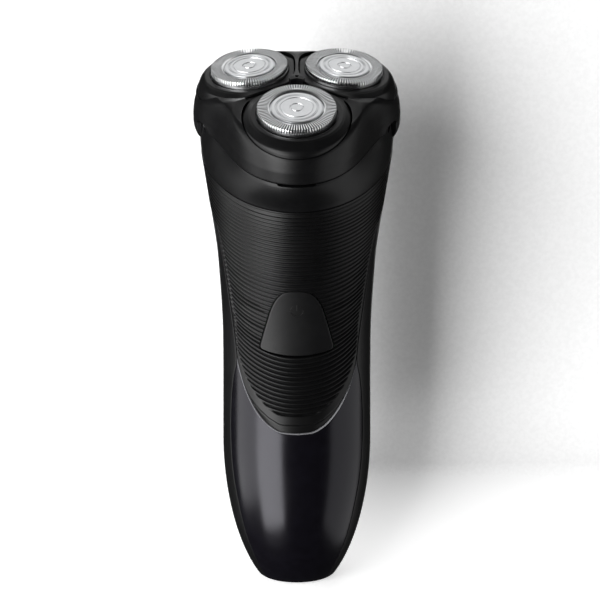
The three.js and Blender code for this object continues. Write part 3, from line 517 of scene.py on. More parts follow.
MATERIALS = {
    "black_plastic": finish_of("black_plastic", (0.0018, 0.0018, 0.002), (0.0027, 0.0027, 0.003),
                               (0.34, 0.42), 5200, 0.12, specular=0.24),
    "gloss_cover": finish_of("gloss_cover", (0.0022, 0.0019, 0.003), (0.003, 0.0027, 0.0042),
                             (0.17, 0.23), 3800, 0.03, specular=0.3, tint=(0.93, 0.92, 1.0)),
    "grip_rubber": finish_of("grip_rubber", (0.0016, 0.0016, 0.0017), (0.0024, 0.0024, 0.0026),
                             (0.3, 0.38), 4200, 0.07, specular=0.24),
    "inner_plastic": finish_of("inner_plastic", (0.022, 0.023, 0.026), (0.03, 0.031, 0.035),
                               (0.42, 0.55), 3000, 0.2),
    "white_plastic": finish_of("white_plastic", (0.66, 0.64, 0.58), (0.74, 0.72, 0.66),
                               (0.35, 0.5), 2500, 0.12),
    "steel": finish_of("steel", (0.55, 0.56, 0.57), (0.68, 0.69, 0.7), (0.2, 0.3), 6000, 0.12,
                       metal=1.0, smudge=150),
    "satin_steel": finish_of("satin_steel", (0.46, 0.47, 0.49), (0.56, 0.57, 0.59), (0.34, 0.44),
                             7000, 0.2, metal=1.0, smudge=150),
    # Darkened steel for the cutter rings: painted shade, so the slots over them read dark.
    "painted_shade_blade_steel": finish_of("painted_shade_blade_steel", (0.05, 0.05, 0.052), (0.08, 0.08, 0.083), (0.35, 0.45),
                             6000, 0.2, metal=1.0, smudge=150),
    "board_green": finish_of("board_green", (0.01, 0.09, 0.03), (0.02, 0.14, 0.05), (0.25, 0.4),
                             1500, 0.2),
    "cell_wrap": finish_of("cell_wrap", (0.02, 0.16, 0.38), (0.03, 0.2, 0.46), (0.2, 0.3),
                           1200, 0.1),
    "brass": finish_of("brass", (0.55, 0.33, 0.07), (0.64, 0.4, 0.1), (0.22, 0.34), 4000, 0.15,
                       metal=1.0, smudge=150),
    "copper": finish_of("copper", (0.4, 0.13, 0.04), (0.5, 0.18, 0.06), (0.25, 0.4), 2600, 0.4,
                        metal=1.0, smudge=150),
}

# Painted highlight along the cover's top chamfer.
paint_chamfer_highlight(MATERIALS["gloss_cover"])

slot_of = {entry["node"]: entry.get("material_slot", entry["node"])
           for entry in frame["record"]["subparts"]}
for node_name, node in frame["nodes"].items():
    # Cutter rings take the darkened steel, which is painted shade seen through the slots.
    finish = "painted_shade_blade_steel" if node_name.startswith("cutter_ring") else slot_of[node_name]
    node.data.materials.clear()
    node.data.materials.append(MATERIALS[finish])


# ---------------------------------------------------------------- handle shells
def edge_steps(radius, steps=5):
    """Distances from an edge and the insets that round it off."""
    a = np.linspace(0, np.pi / 2, steps)
    return radius * (1 - np.cos(a)), radius * (1 - np.sin(a))


def strip(count, length, radius):
    """Shares along a strip with both ends rounded, and the inset at each."""
    d, inset = edge_steps(radius)
    middle = np.linspace(radius / length, 1 - radius / length, count)[1:-1]
    share = np.concatenate([d / length, middle, 1 - d[::-1] / length])
    flat = np.zeros(count - 2)
    return share, np.concatenate([inset, flat, inset[::-1]])


def fine_foot(v, inset_v, rows, clear):
    """Strip with closer rows below a share, and no rounding of its own at the foot."""
    v = np.concatenate([rows, v[v > clear]])
    return v, np.concatenate([np.zeros(len(rows)), inset_v[-(len(v) - len(rows)):]])


# Gap between cover and housing, in degrees round the handle.
SEAM_GAP = 0.3
EDGE = 0.14
COVER_CHAMFER = 0.26
COVER_CLEAR = 0.12
BOTTOM_ROUND = 1.6
# Rough sizes of the panels, to share out their rounded edges.
HOUSING_GIRTH = 92
COVER_WIDTH, COVER_HEIGHT = 46, 60


def bottom_inset(z):
    """Inset that rounds the lower rim of the handle."""
    depth = np.clip(BOTTOM_ROUND - z, 0, BOTTOM_ROUND)
    return BOTTOM_ROUND - np.sqrt(BOTTOM_ROUND ** 2 - depth ** 2)


def rear_housing():
    """Back and sides of the handle behind the seams, with its floor."""
    u, inset_u = strip(130, HOUSING_GIRTH, EDGE)
    v, inset_v = fine_foot(*strip(150, GRIP_TOP, EDGE), [0, 0.0008, 0.002, 0.004, 0.0065, 0.009],
                           0.0115)
    z = v * GRIP_TOP
    start = SIDE_SEAM(z) + SEAM_GAP
    angle = np.radians(start[None] + (360 - 2 * start[None]) * u[:, None])
    inset = np.maximum(inset_u[:, None], inset_v[None]) + bottom_inset(z)[None]
    outer = handle_point(angle, z[None], inset)
    inner = handle_point(angle, z[None], WALL)
    return join(shell("housing", outer, inner), base_plate())


def base_plate():
    """Floor of the handle, with the rounded mouth of the inlet."""
    n = 160
    turn = np.linspace(0, 2 * np.pi, n, endpoint=False)
    half_width, half_depth, power = 8.15, 5.15, 0.22
    across = half_width * np.sign(np.sin(turn)) * abs(np.sin(turn)) ** power
    along = half_depth * np.sign(np.cos(turn)) * abs(np.cos(turn)) ** power
    mouth = np.stack([across, TAPER_LEAN - along], -1)
    low, high = 0.45, 2.4
    outer_low = handle_point(turn, low, WALL + 0.1)
    outer_high = handle_point(turn, high, WALL + 0.1)
    outer_low[:, 2], outer_high[:, 2] = low, high
    return rings("base", [outer_low, outer_high, np.c_[mouth, np.full(n, high)],
                          np.c_[mouth, np.full(n, low)]], True)


def cover_top(share):
    """Height where each column of the cover meets the lower edge of the grip."""
    low, high = np.full_like(share, 50.0), np.full_like(share, 72.4)
    # Halving the span forty times.
    for _ in range(40):
        z = (low + high) / 2
        above = GRIP_EDGE(np.abs(share) * SIDE_SEAM(z)) > z
        low, high = np.where(above, z, low), np.where(above, high, z)
    return z - COVER_CLEAR


def front_cover():
    """Glossy cover between the side seams, up to the lower edge of the grip."""
    u, inset_u = strip(100, COVER_WIDTH, EDGE)
    v, inset_v = fine_foot(*strip(90, COVER_HEIGHT, COVER_CHAMFER),
                           [0, 0.0015, 0.004, 0.009, 0.015, 0.021], 0.027)
    share = 2 * u - 1
    top = cover_top(share)
    z = top[:, None] * v[None]
    angle = np.radians(share[:, None] * SIDE_SEAM(z))
    inset = np.maximum(inset_u[:, None], inset_v[None]) + bottom_inset(z)
    return shell("cover", handle_point(angle, z, inset), handle_point(angle, z, WALL))


RIB_LOW, RIB_TOP = 51.2, 131.5
# Distance between ribs, by height on the front line.
RIB_PITCH = curve([(51, 1.36), (72, 1.36), (88, 1.52), (104, 1.68), (RIB_TOP, 1.82)])
RIB_DEPTH = 0.5
RIB_SAMPLE = 0.17
GRIP_PROUD = 0.12
GRIP_RADIUS = 22.0
GRIP_EDGE_DEGREES = 2.6
LEDGE_DEPTH = 0.62
# By half angle: width of the smooth ledge under the insert, and distance from edge to ribs.
LEDGE = curve([(0, 2.6), (20, 2.0), (36, 0.8), (46, 0.15), (52, 0), (98, 0)])
RIB_START = curve([(0, 5.0), (18, 4.3), (30, 3.3), (45, 1.8), (52, 1.3), (98, 0.9)])


def rib_rise(z0):
    """How far a rib line that starts at z0 in front climbs towards the sides."""
    return np.minimum(0.3 * (RIB_TOP - z0), 17.4)


def grip_panel():
    """Ribbed insert: a ledge along its lower edge, a smooth border, then rounded ribs."""
    fine = edge_steps(0.5)[0] * GRIP_EDGE_DEGREES
    angle = np.concatenate([-GRIP_HALF + fine, np.linspace(-GRIP_HALF + 1.4, GRIP_HALF - 1.4, 260),
                            GRIP_HALF - fine[::-1]])
    side = np.abs(angle)
    low = GRIP_EDGE(side)[:, None]
    slope = np.gradient(low[:, 0], GRIP_RADIUS * np.radians(angle))
    lean = (1 / np.sqrt(1 + slope ** 2))[:, None]
    level = np.append(np.arange(RIB_LOW, GRIP_TOP - 0.02, RIB_SAMPLE), GRIP_TOP)
    phase = np.concatenate([[0], np.cumsum(np.diff(level) / RIB_PITCH(level[1:]))])
    z = level[None] + rib_rise(level)[None] * (1 - np.cos(np.radians(angle)))[:, None]
    z = np.clip(z, low, GRIP_TOP)
    edge = np.minimum((z - low) * lean, ((GRIP_HALF - side) * math.radians(GRIP_RADIUS))[:, None])
    top_edge = GRIP_TOP - z
    ledge = LEDGE(side)[:, None]
    start = RIB_START(side)[:, None]
    field = smoothstep(0, 0.5, edge - start) * smoothstep(0, 0.3, top_edge - 0.35)
    wave = 0.5 - 0.5 * np.cos(phase * 2 * np.pi)
    groove = wave[None] ** 1.25
    chamfer = np.clip(0.4 - edge, 0, 0.4) + np.clip(0.2 - top_edge, 0, 0.2)
    on_ledge = smoothstep(0, 0.5, ledge) * (1 - smoothstep(-0.3, 0.25, edge - ledge))
    foot = 0.16 * np.exp(-((edge - ledge + 0.25) / 0.16) ** 2) * smoothstep(0.3, 1, ledge)
    sunk = LEDGE_DEPTH * (0.25 + 0.75 * np.clip(1 - edge / np.maximum(ledge, 0.1), 0, 1))
    inset = field * groove * RIB_DEPTH + on_ledge * sunk + foot - GRIP_PROUD
    inset = inset + chamfer * (1 - on_ledge)
    turn = np.radians(angle)[:, None]
    panel = shell("grip", handle_point(turn, z, inset), handle_point(turn, z, WALL))
    mouth = button_loop(1, 0, BUTTON_GAP)
    hole = rings("hole", [mouth + (0, y, 0) for y in (-3, 6)])
    carve(panel, hole)
    return panel


# Right half of the button's outline: degrees from the front, height.
BUTTON_HALF = [(0, 96.9), (6, 96.75), (11.5, 95.8), (16.6, 93.2), (20.2, 89.8), (22.8, 86.3),
               (25.4, 82.8), (27.6, 79.6), (28.7, 77.9), (27.9, 76.9), (24, 76.3), (20, 75.85),
               (10, 75.2), (0, 75)]
BUTTON_CENTRE = 85.5
BUTTON_SAG = 0.8
BUTTON_REACH = 10.3
BUTTON_GAP = 0.26
# Radius that turns degrees round the handle into widths over the button.
BUTTON_ROUND = 20.5
SPACING_ROUND = 21


def button_outline(count=160):
    """Closed outline of the button as (angle in degrees, height), evenly refined."""
    half = np.array(BUTTON_HALF)
    loop = np.concatenate([half, half[-2:0:-1] * (-1, 1)])
    n = len(loop)
    points = []
    for i in range(n):
        a, b, c, d = (loop[(i + k) % n] for k in (-1, 0, 1, 2))
        for t in np.linspace(0, 1, 8, endpoint=False):
            points.append(0.5 * (2 * b + (c - a) * t + (2 * a - 5 * b + 4 * c - d) * t * t
                                 + (3 * b - a - 3 * c + d) * t ** 3))
    points = np.array(points)
    scale = np.array([math.radians(SPACING_ROUND), 1])
    step = np.linalg.norm(np.diff(np.concatenate([points, points[:1]]) * scale, axis=0), axis=1)
    along = np.concatenate([[0], np.cumsum(step)])
    where = np.linspace(0, along[-1], count, endpoint=False)
    closed = np.concatenate([points, points[:1]])
    return np.stack([np.interp(where, along, closed[:, k]) for k in (0, 1)], -1)


def button_sag(across):
    """How far the face of the button lies below the handle's round surface."""
    return BUTTON_SAG * (1 - (across / BUTTON_REACH) ** 2)


def button_loop(scale, inset, grow=0.0):
    """Outline of the button on the handle surface, scaled about its middle, then grown."""
    outline = button_outline()
    flat = outline * (math.radians(BUTTON_ROUND), 1)
    tangent = np.roll(flat, -1, 0) - np.roll(flat, 1, 0)
    normal = np.stack([-tangent[:, 1], tangent[:, 0]], -1)
    normal /= np.linalg.norm(normal, axis=1)[:, None]
    middle = np.array([0, BUTTON_CENTRE])
    if np.sum((flat - middle) * normal) < 0:
        normal = -normal
    flat = middle + (flat - middle) * scale + normal * grow
    return handle_point(flat[:, 0] / BUTTON_ROUND, flat[:, 1], inset + button_sag(flat[:, 0]))


def power_button():
    """Smooth push button with a shallow dish and a plain raised on mark."""
    edge, proud, dish, thick = 0.35, 0.05, 0.08, 1.1
    d, inset = edge_steps(edge)
    back = np.array([0, 1, 0])
    loops = [button_loop(1, 0) + thick * back]
    loops += [button_loop(1, -proud, -x) + i * back for x, i in zip(d, inset)]
    loops += [button_loop(s, -proud + dish * (1 - s * s), -edge * s)
              for s in (0.97, 0.92, 0.86, 0.8, 0.72, 0.64, 0.55, 0.46, 0.36, 0.26, 0.16, 0.07)]
    button = rings("button", loops)
    mark_z, mark_radius, line = 90.0, 1.75, 0.075

    def on_surface(x, z):
        return handle_point(np.asarray(x) / BUTTON_ROUND, z, button_sag(np.asarray(x)) - 0.01)

    turn = np.radians(np.linspace(125, 415, 40))
    arc = on_surface(mark_radius * np.cos(turn), mark_z + mark_radius * np.sin(turn))
    bar = on_surface(np.zeros(6), np.linspace(mark_z + 0.1, mark_z + 2.1, 6))
    return join(button, tube("mark", arc, line), tube("mark", bar, line))


# ---------------------------------------------------------------- collar
SIDES = 288
FRAME_SIDES = 360


def knuckle(x0, x1):
    """Hinge barrel along X with chamfered ends, in the head frame."""
    bevel, r, bore = 0.25, 1.6, 0.95
    profile = [(bore, x0), (r - bevel, x0), (r, x0 + bevel), (r, x1 - bevel), (r - bevel, x1),
               (bore, x1)]
    lay = Matrix.Translation((0, HINGE_Y, HINGE_Z)) @ Matrix.Rotation(math.pi / 2, 4, "Y")
    return spin("knuckle", profile, 40, HEAD @ lay)


def side_notches(inner):
    """Cutters for the finger notch below the front edge of each wing, from inner outward."""
    turn = np.linspace(0, 2 * np.pi, 48, endpoint=False)
    y = SIDE_NOTCH_Y + SIDE_NOTCH_HALF * np.cos(turn)
    z = UNIT_BOTTOM + SIDE_NOTCH_HEIGHT * np.sin(turn)
    return [rings("notch", [np.stack([np.full(48, x), y, z], -1) for x in span], False, HEAD)
            for span in ((-36, -inner), (inner, 36))]


def collar():
    """Band below the shaving unit, with the front notch and the hinge arms."""
    length = COLLAR_TOP - COLLAR_BOTTOM
    v, inset = strip(30, length, 0.22)
    levels = COLLAR_BOTTOM + v * length
    turn = np.linspace(0, 2 * np.pi, SIDES, endpoint=False)
    outside = [handle_point(turn, section_at(z), i) for z, i in zip(levels, inset)]
    inside = [handle_point(turn, section_at(z), WALL + 0.2) for z in (COLLAR_TOP, COLLAR_BOTTOM)]
    band = rings("collar", outside + inside, True)
    half, depth, corner = 5.3, 0.68, 0.5
    arc = np.radians(np.linspace(180, 270, 7))
    left = np.stack([-half + corner + corner * np.cos(arc),
                     -depth + corner + corner * np.sin(arc)], -1)
    outline = np.concatenate([[(-half, 3)], left, (left * (-1, 1))[::-1], [(half, 3)]])
    outline[:, 1] += COLLAR_TOP
    cutter = rings("notch", [np.stack([outline[:, 0], np.full(len(outline), y), outline[:, 1]], -1)
                             for y in (-38, -26)], False, HEAD)
    carve(band, cutter, *side_notches(26.0))
    soften(band, 0.16, 55)
    arms = []
    for x0 in (-9, 5.4):
        arms += [box("arm", x0, x0 + 3.6, 22.0, HINGE_Y, -19.5, HINGE_Z - 0.5, HEAD),
                 knuckle(x0, x0 + 3.6)]
    return join(band, *arms)


# ---------------------------------------------------------------- shaving unit
def petal_reach(lobe, turn, grow=0.0):
    """Distance from a cap centre to the edge of its petal, in plan, by direction."""
    squeeze = FRONT_SQUEEZE if lobe == "front" else 0
    reach = LOBES[lobe][1] * (1 - squeeze * np.sin(turn) ** 2) + grow
    distance = CAP_RING * math.sin(math.radians(60)) - ARM_HALF + grow
    power = 16
    total = reach ** -power
    for side in (-1, 1):
        normal = np.array([math.sin(math.radians(60)), side * math.cos(math.radians(60))])
        toward = -(np.cos(turn) * normal[0] + np.sin(turn) * normal[1])
        total = total + np.where(toward > 1e-3, (np.maximum(toward, 1e-3) / distance) ** power, 0)
    return total ** (-1 / power)


def to_plan(lobe, x, y):
    """Head-frame plan position of a point given in a lobe's own axes."""
    a = math.radians(LOBES[lobe][0])
    return x * math.cos(a) - y * math.sin(a), x * math.sin(a) + y * math.cos(a)


def dome(x, y):
    """Height of the unit's envelope over a plan position in the head frame."""
    return DOME(np.hypot(x, y) / head_radius(np.arctan2(x, -y)))


def petal_height(lobe, x, y):
    """Height of a petal's face: a ring round the cap, a slope outward, then the envelope."""
    flat = -CAP_RISE / math.cos(CAP_TILT) - (x - CAP_RING) * math.tan(CAP_TILT)
    r = np.hypot(x - CAP_RING, y)
    outer = smoothstep(5, 12.5, x)
    step = RING_STEP * smoothstep(12.5, 13.4, r)
    flat = flat - outer * (step + RING_SLOPE * np.clip(r - RING_EDGE, 0, None))
    over = np.maximum(dome(*to_plan(lobe, x, y)), PETAL_RIM)
    blend = 0.3
    return -blend * np.log(np.exp(-flat / blend) + np.exp(-over / blend))


def petal(lobe):
    """Petal as rings from the cap hole out over its face and down its outer edge."""
    turn = np.linspace(0, 2 * np.pi, 240, endpoint=False)
    limit = petal_reach(lobe, turn)
    share = np.linspace(0, 1, 46)
    share = 0.5 * share + 0.5 * (1 - (1 - share) ** 2)
    d, inset = edge_steps(0.28, 5)
    hole_d, hole_inset = edge_steps(0.22, 4)
    start, end = CAP_HOLE + 0.22, limit - 0.28
    steps = [(np.full_like(turn, CAP_HOLE + x), i) for x, i in zip(hole_d, hole_inset)]
    steps += [(start + (end - start) * s, 0) for s in share[1:-1]]
    steps += [(limit - x, i) for x, i in zip(d[::-1], inset[::-1])]
    loops = []
    for r, i in steps:
        x, y = CAP_RING + r * np.cos(turn), r * np.sin(turn)
        px, py = to_plan(lobe, x, y)
        loops.append(np.stack([px, py, petal_height(lobe, x, y) - i], -1))
    thick = 1.5
    inner = loops[0].copy()
    inner[:, 2] = loops[0][:, 2] - thick
    x, y = CAP_RING + (limit - 1.2) * np.cos(turn), (limit - 1.2) * np.sin(turn)
    px, py = to_plan(lobe, x, y)
    under = np.stack([px, py, petal_height(lobe, x, y) - thick], -1)
    outer = loops[-1].copy()
    outer[:, 2] = np.maximum(loops[-1][:, 2] - 3.4, PETAL_FOOT)
    under[:, 2] = np.minimum(under[:, 2], outer[:, 2] + 0.6)
    face = rings("petal", [inner] + loops + [outer, under], True, HEAD)
    cap = cap_matrix(lobe)
    lugs = []
    for side in (-1, 1):
        y0, y1 = sorted((side * 12.0, side * 13.2))
        lugs.append(box("lug", -2, 2, y0, y1, -7.9, -3.0, cap))
        lay = cap @ Matrix.Translation((0, side * 13.1, -6.6)) @ Matrix.Rotation(math.pi / 2, 4, "X")
        lugs.append(spin("pin", [(0, -1.2), (0.6, -1.2), (0.6, 1.2), (0, 1.2)], 20, lay))
    return join(face, *lugs)


def petal_cutter(lobe):
    """Pocket of a petal in the frame."""
    turn = np.linspace(0, 2 * np.pi, 200, endpoint=False)
    r = petal_reach(lobe, turn, PETAL_GAP)
    px, py = to_plan(lobe, CAP_RING + r * np.cos(turn), r * np.sin(turn))
    loops = [np.stack([px, py, np.full_like(px, z)], -1) for z in (POCKET_FLOOR, 4)]
    return rings("pocket", loops, False, HEAD)


def gap_tree():
    """Points along the seams between petals and frame, to shape the frame beside them."""
    points = []
    for lobe in LOBES:
        turn = np.linspace(0, 2 * np.pi, 240, endpoint=False)
        r = petal_reach(lobe, turn, PETAL_GAP)
        px, py = to_plan(lobe, CAP_RING + r * np.cos(turn), r * np.sin(turn))
        points += list(zip(px, py, dome(px, py)))
    tree = KDTree(len(points))
    for i, p in enumerate(points):
        tree.insert(p, i)
    tree.balance()
    return tree


VALLEY_DEPTH = 1.15
VALLEY_WIDTH = 2.9


def valley(near, angle):
    """Depth of the scoop along a petal seam, by distance from the seam and angle."""
    side = np.degrees(np.arccos(np.cos(angle)))
    reach = VALLEY_WIDTH * (0.25 + 0.75 * smoothstep(12, 48, side))
    reach = reach * (1 - 0.75 * smoothstep(75, 125, side))
    t = np.clip(1 - near / reach, 0, 1)
    soft = 0.22
    ramp = np.sqrt(t * t + soft * soft) - soft
    return VALLEY_DEPTH * (reach / VALLEY_WIDTH) * np.clip(ramp, 0, 1)


# Span of the ears in degrees from the front, and rows of points across it.
EAR_START, EAR_END, EAR_ROWS = 91.5, 116, 26


def wing_ear(side):
    """Lower end of a side wing, which hangs outside the collar."""
    angles = np.radians(side * np.linspace(EAR_START, EAR_END, EAR_ROWS))
    levels = np.concatenate([[UNIT_BOTTOM + 0.8], np.linspace(UNIT_BOTTOM + 0.35, -18.9, 14)])
    front = smoothstep(0, 1, (EAR_END - np.degrees(np.abs(angles))) / 4)[:, None]
    bottom = WING_BOTTOM + 3.2 * (1 - front)
    z = np.concatenate([np.repeat(levels[None], EAR_ROWS, 0), bottom], 1)
    z = np.maximum(z, bottom)
    a = angles[:, None]
    outer = head_radius(a) + WING_OUT(z) * wing_share(a) - 0.12 * (z > UNIT_BOTTOM + 0.5)
    edge_round = 0.35
    edge = np.clip(edge_round - (np.degrees(np.abs(a)) - EAR_START) * 0.5, 0, edge_round)
    outer = outer - edge_round + np.sqrt(np.clip(edge_round ** 2 - edge ** 2, 0, None))
    inner = head_radius(a) - COLLAR_TUCK * wing_share(a) + 0.3 + 0 * z
    grid = [np.stack([r * np.sin(a) * np.ones_like(z), -r * np.cos(a), z], -1)
            for r in (outer, inner)]
    ear = shell("ear", *grid)
    ear.data.transform(HEAD)
    return ear


def unit_frame():
    """Skirt of the shaving unit with its wings, petal pockets, arms and hinge knuckle."""
    turn = np.linspace(0, 2 * np.pi, FRAME_SIDES, endpoint=False)
    radius = head_radius(turn)
    wing = wing_share(turn)
    d, inset = edge_steps(0.22)
    profile = [(1, UNIT_BOTTOM + x, i) for x, i in zip(d, inset)]
    profile += [(1, z, 0) for z in np.linspace(UNIT_BOTTOM + 0.6, -11.3, 10)]
    fine = np.concatenate([np.linspace(1, 0.9, 44), np.linspace(0.9, 0.02, 60)[1:]])
    profile += [(s, float(DOME(s)), 0) for s in fine]
    base = []
    for share, z, i in profile:
        out = radius * share - i + float(WING_OUT(z)) * wing
        base.append(np.stack([out * np.sin(turn), -out * np.cos(turn), np.full_like(turn, z)], -1))
    base = np.array(base)
    up = np.gradient(base, axis=0)
    round_ = np.roll(base, -1, 1) - np.roll(base, 1, 1)
    normal = np.cross(round_, up)
    normal /= np.linalg.norm(normal, axis=2)[..., None]
    tree = gap_tree()
    near = np.array([[tree.find(q)[2] for q in row] for row in base])
    heights = base[..., 2]
    deep = valley(near, turn[None]) * smoothstep(-14.5, -12.5, heights)
    flat = np.hypot(base[..., 0], base[..., 1]) / radius[None]
    deep = deep * smoothstep(0.35, 0.6, flat)
    outside = list(base - normal * deep[..., None])
    lining = [(0.02, -3.2), (0.5, -3.9), (0.75, -5.0), (0.85, -6.2), (0.89, -8), (0.905, -10),
              (0.92, UNIT_BOTTOM)]
    inside = [np.stack([radius * s * np.sin(turn), -radius * s * np.cos(turn),
                        np.full(FRAME_SIDES, z)], -1) for s, z in lining]
    shell_piece = rings("frame", outside + inside, True, HEAD)
    carve(shell_piece, *(petal_cutter(lobe) for lobe in LOBES), *side_notches(18))
    for angle in (210, 330):
        a = math.radians(angle)
        trough = HEAD @ Matrix.Rotation(a, 4, "Z") @ Matrix.Rotation(math.radians(4), 4, "Y")
        carve(shell_piece, box("trough", 2.2, 16.5, -0.9, 0.9, -1.35, 3, trough))
    soften(shell_piece, 0.14, 50)
    half = 4.9
    arm = box("arm", -half, half, 21.8, HINGE_Y, UNIT_BOTTOM + 0.3, -12.4, HEAD)
    return join(shell_piece, arm, knuckle(-half, half), wing_ear(-1), wing_ear(1))


# ---------------------------------------------------------------- caps
SLOTS = 90


def guard(lobe):
    """Cap with a slotted hair track: bars from the inner ring over the rim, and the cup below."""
    cap = cap_matrix(lobe)
    inner = [(7.3, -1.6), (7.3, -0.55), (7.42, -0.42), (7.95, -0.2), (8.0, -0.28), (8.0, -0.75),
             (7.9, -0.8), (7.9, -1.6)]
    cup = [(10.45, -4.4), (11.7, -4.4), (11.7, -4.0), (11.05, -3.9), (11.0, -3.8), (11.0, -1.35),
           (10.9, -1.3), (10.45, -1.35)]
    floor = [(0, -1.5), (7.6, -1.5), (7.6, -1.1), (0, -1.1)]
    parts = [spin("ring", inner, 180, cap), spin("cup", cup, 180, cap),
             spin("floor", floor, 120, cap)]
    step = 2 * np.pi / SLOTS
    # The first four points are the top of a bar, the next three its outer side.
    bar = [(7.7, -0.26), (8.25, 0.0), (10.55, 0.0), (10.8, -0.07), (10.95, -0.24), (11.0, -0.5),
           (11.0, -1.45), (10.6, -1.45), (10.6, -0.75), (10.45, -0.62), (7.7, -0.62)]
    # Share of the step across a bar, and how far its rounded edges drop there.
    across = [(-0.23, 0.05), (-0.19, 0.01), (0, 0), (0.19, 0.01), (0.23, 0.05)]
    points, faces = [], []
    m = len(bar)
    for k in range(SLOTS):
        start = len(points)
        for share, drop in across:
            turn = (k + share) * step
            for i, (r, z) in enumerate(bar):
                lowered = drop if i < 4 else 0
                out = r - (drop * 0.6 if 3 < i < 7 else 0)
                points.append((out * math.cos(turn), out * math.sin(turn), z - lowered))
        for c in range(len(across) - 1):
            s, e = start + c * m, start + (c + 1) * m
            faces += [(s + i, s + (i + 1) % m, e + (i + 1) % m, e + i) for i in range(m)]
        last = start + (len(across) - 1) * m
        faces += [tuple(start + i for i in range(m)), tuple(last + i for i in reversed(range(m)))]
    parts.append(make("bars", points, faces, cap))
    return join(*parts)


def guard_disc(lobe):
    """Satin centre disc with plain concentric grooves and a small raised boss."""
    g, sunk = 0.17, 0.05
    profile = [(0, -0.02), (1.35, -0.02), (1.5, -0.05), (1.6, -0.05 - g), (1.9, -0.05 - g),
               (2.0, -0.05), (4.35, 0.0), (4.45, -g), (4.65, -g), (4.75, 0), (5.45, 0), (5.5, -g),
               (5.62, -g), (5.67, 0), (5.83, 0), (5.88, -g), (6.0, -g), (6.05, 0), (6.85, -0.02),
               (7.02, -0.1), (7.1, -0.3), (7.1, -0.8), (0, -0.8)]
    return spin("disc", [(r, z - sunk) for r, z in profile], 144, cap_matrix(lobe))


place(rear_housing(), "handle", "black_plastic", "rear_housing")
place(front_cover(), "handle", "gloss_cover", "front_cover")
place(grip_panel(), "handle", "grip_rubber", "grip_panel", sharp=50)
place(power_button(), "power_button", "black_plastic", "power_button")
place(collar(), "handle", "black_plastic", "collar")
place(unit_frame(), "shaving_unit", "black_plastic", "unit_frame")
for side in LOBES:
    place(petal(side), f"petal_{side}", "black_plastic", f"petal_{side}")
    metre_cap = cap_row_matrix(side)
    # Track finish with painted shade on its slot walls.
    track = brushed(f"track_{side}", (0.72, 0.73, 0.74), (0.86, 0.87, 0.88), (0.18, 0.25),
                    metre_cap, slotted=True)
    disc = brushed(f"disc_{side}", (0.56, 0.57, 0.58), (0.68, 0.69, 0.7), (0.28, 0.38), metre_cap,
                   bump=0.12)
    place(guard(side), f"guard_{side}", "steel", f"guard_{side}", material=track)
    place(guard_disc(side), f"guard_{side}", "satin_steel", f"guard_disc_{side}", material=disc)


# ---------------------------------------------------------------- floor, backdrop and light
FLOOR_GLOW = 0.6
AMBIENT = 0.03
PALE = 0.9


def paper():
    """Pale matt paper that glows a little where it lies flat. It is clear from behind, so that
    the back of the shaver can be looked at."""
    n = Nodes("paper")
    tone = n.ramp(n.noise(900, 2), (0.86, 0.86, 0.86), (0.9, 0.9, 0.9))
    n.link(tone, n.shader.inputs["Base Color"])
    n.shader.inputs["Roughness"].default_value = 0.9
    n.shader.inputs["Specular IOR Level"].default_value = 0.1
    glow = n.range(n.height_share(), 0, FLOOR_GLOW, 0.5, 1)
    n.link(glow, n.shader.inputs["Emission Strength"])
    n.shader.inputs["Emission Color"].default_value = (1, 1, 1, 1)
    output = n.tree.nodes["Material Output"]
    clear = n.add("ShaderNodeBsdfTransparent")
    facing = n.add("ShaderNodeNewGeometry")
    mix = n.add("ShaderNodeMixShader")
    n.link(facing.outputs["Backfacing"], mix.inputs["Fac"])
    n.link(n.shader.outputs[0], mix.inputs[1])
    n.link(clear.outputs[0], mix.inputs[2])
    n.link(mix.outputs[0], output.inputs["Surface"])
    return n.material


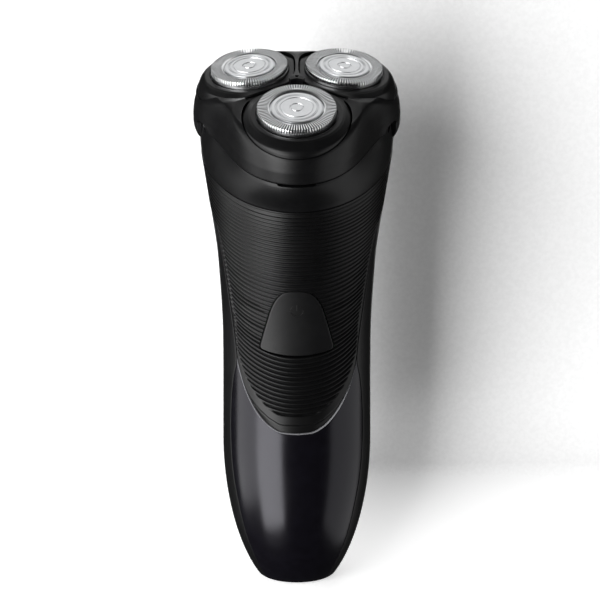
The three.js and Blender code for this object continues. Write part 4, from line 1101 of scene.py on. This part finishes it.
def sweep_stage():
    """Pale floor that curves up into a backdrop close behind the shaver."""
    bend, back, height, half, front = 0.04, 0.056, 1.0, 1.2, -1.0
    arc = np.radians(np.linspace(0, 90, 16))
    profile = [(front, 0.0)] + [(back - bend + bend * math.sin(a), bend - bend * math.cos(a))
                                for a in arc] + [(back, height)]
    points = [(x, y, z) for x in (-half, half) for y, z in profile]
    n = len(profile)
    mesh = bpy.data.meshes.new("stage")
    mesh.from_pydata(points, [], [(i + 1, i, n + i, n + i + 1) for i in range(n - 1)])
    mesh.polygons.foreach_set("use_smooth", [True] * len(mesh.polygons))
    obj = bpy.data.objects.new("stage", mesh)
    scene.collection.objects.link(obj)
    obj.data.materials.append(paper())
    obj.visible_glossy = obj.visible_diffuse = obj.visible_shadow = False


AIM = Vector((0, 0, 0.085))
# Azimuth and elevation in degrees, distance and size in metres, radiance.
LIGHTS = {
    "left": (40, -4, 1.1, (0.73, 1.8), 7.2),
    "left_side": (79, 0, 0.8, (0.6, 1.1), 2.9),
    "right": (-80, -10, 0.8, (0.9, 1.2), 1.0),
    "top": (180, 62, 0.8, (0.9, 0.7), 1.05),
    "back": (180, 5, 1.2, (0.7, 1.2), 1.5),
}


def area_light(name, azimuth, elevation, distance, size, radiance):
    """Soft box at a direction from the shaver: azimuth 0 is in front, 90 on the left."""
    a, e = math.radians(azimuth), math.radians(elevation)
    way = Vector((-math.sin(a) * math.cos(e), -math.cos(a) * math.cos(e), math.sin(e)))
    data = bpy.data.lights.new(name, "AREA")
    data.shape = "RECTANGLE"
    data.size, data.size_y = size
    data.energy = radiance * math.pi * size[0] * size[1]
    obj = bpy.data.objects.new(name, data)
    obj.location = AIM + way * distance
    obj.rotation_euler = (-way).to_track_quat("-Z", "Y").to_euler()
    obj.visible_camera = False
    scene.collection.objects.link(obj)


sweep_stage()
for light_name, values in LIGHTS.items():
    area_light(light_name, *values)
world = bpy.data.worlds.new("world")
scene.world = world
world.use_nodes = True
tree = world.node_tree
ambient = tree.nodes["Background"]
ambient.inputs["Color"].default_value = (1, 1, 1, 1)
ambient.inputs["Strength"].default_value = AMBIENT
pale = tree.nodes.new("ShaderNodeBackground")
pale.inputs["Color"].default_value = (PALE, PALE, PALE, 1)
path = tree.nodes.new("ShaderNodeLightPath")
mix = tree.nodes.new("ShaderNodeMixShader")
tree.links.new(path.outputs["Is Camera Ray"], mix.inputs["Fac"])
tree.links.new(ambient.outputs[0], mix.inputs[1])
tree.links.new(pale.outputs[0], mix.inputs[2])
tree.links.new(mix.outputs[0], tree.nodes["World Output"].inputs["Surface"])
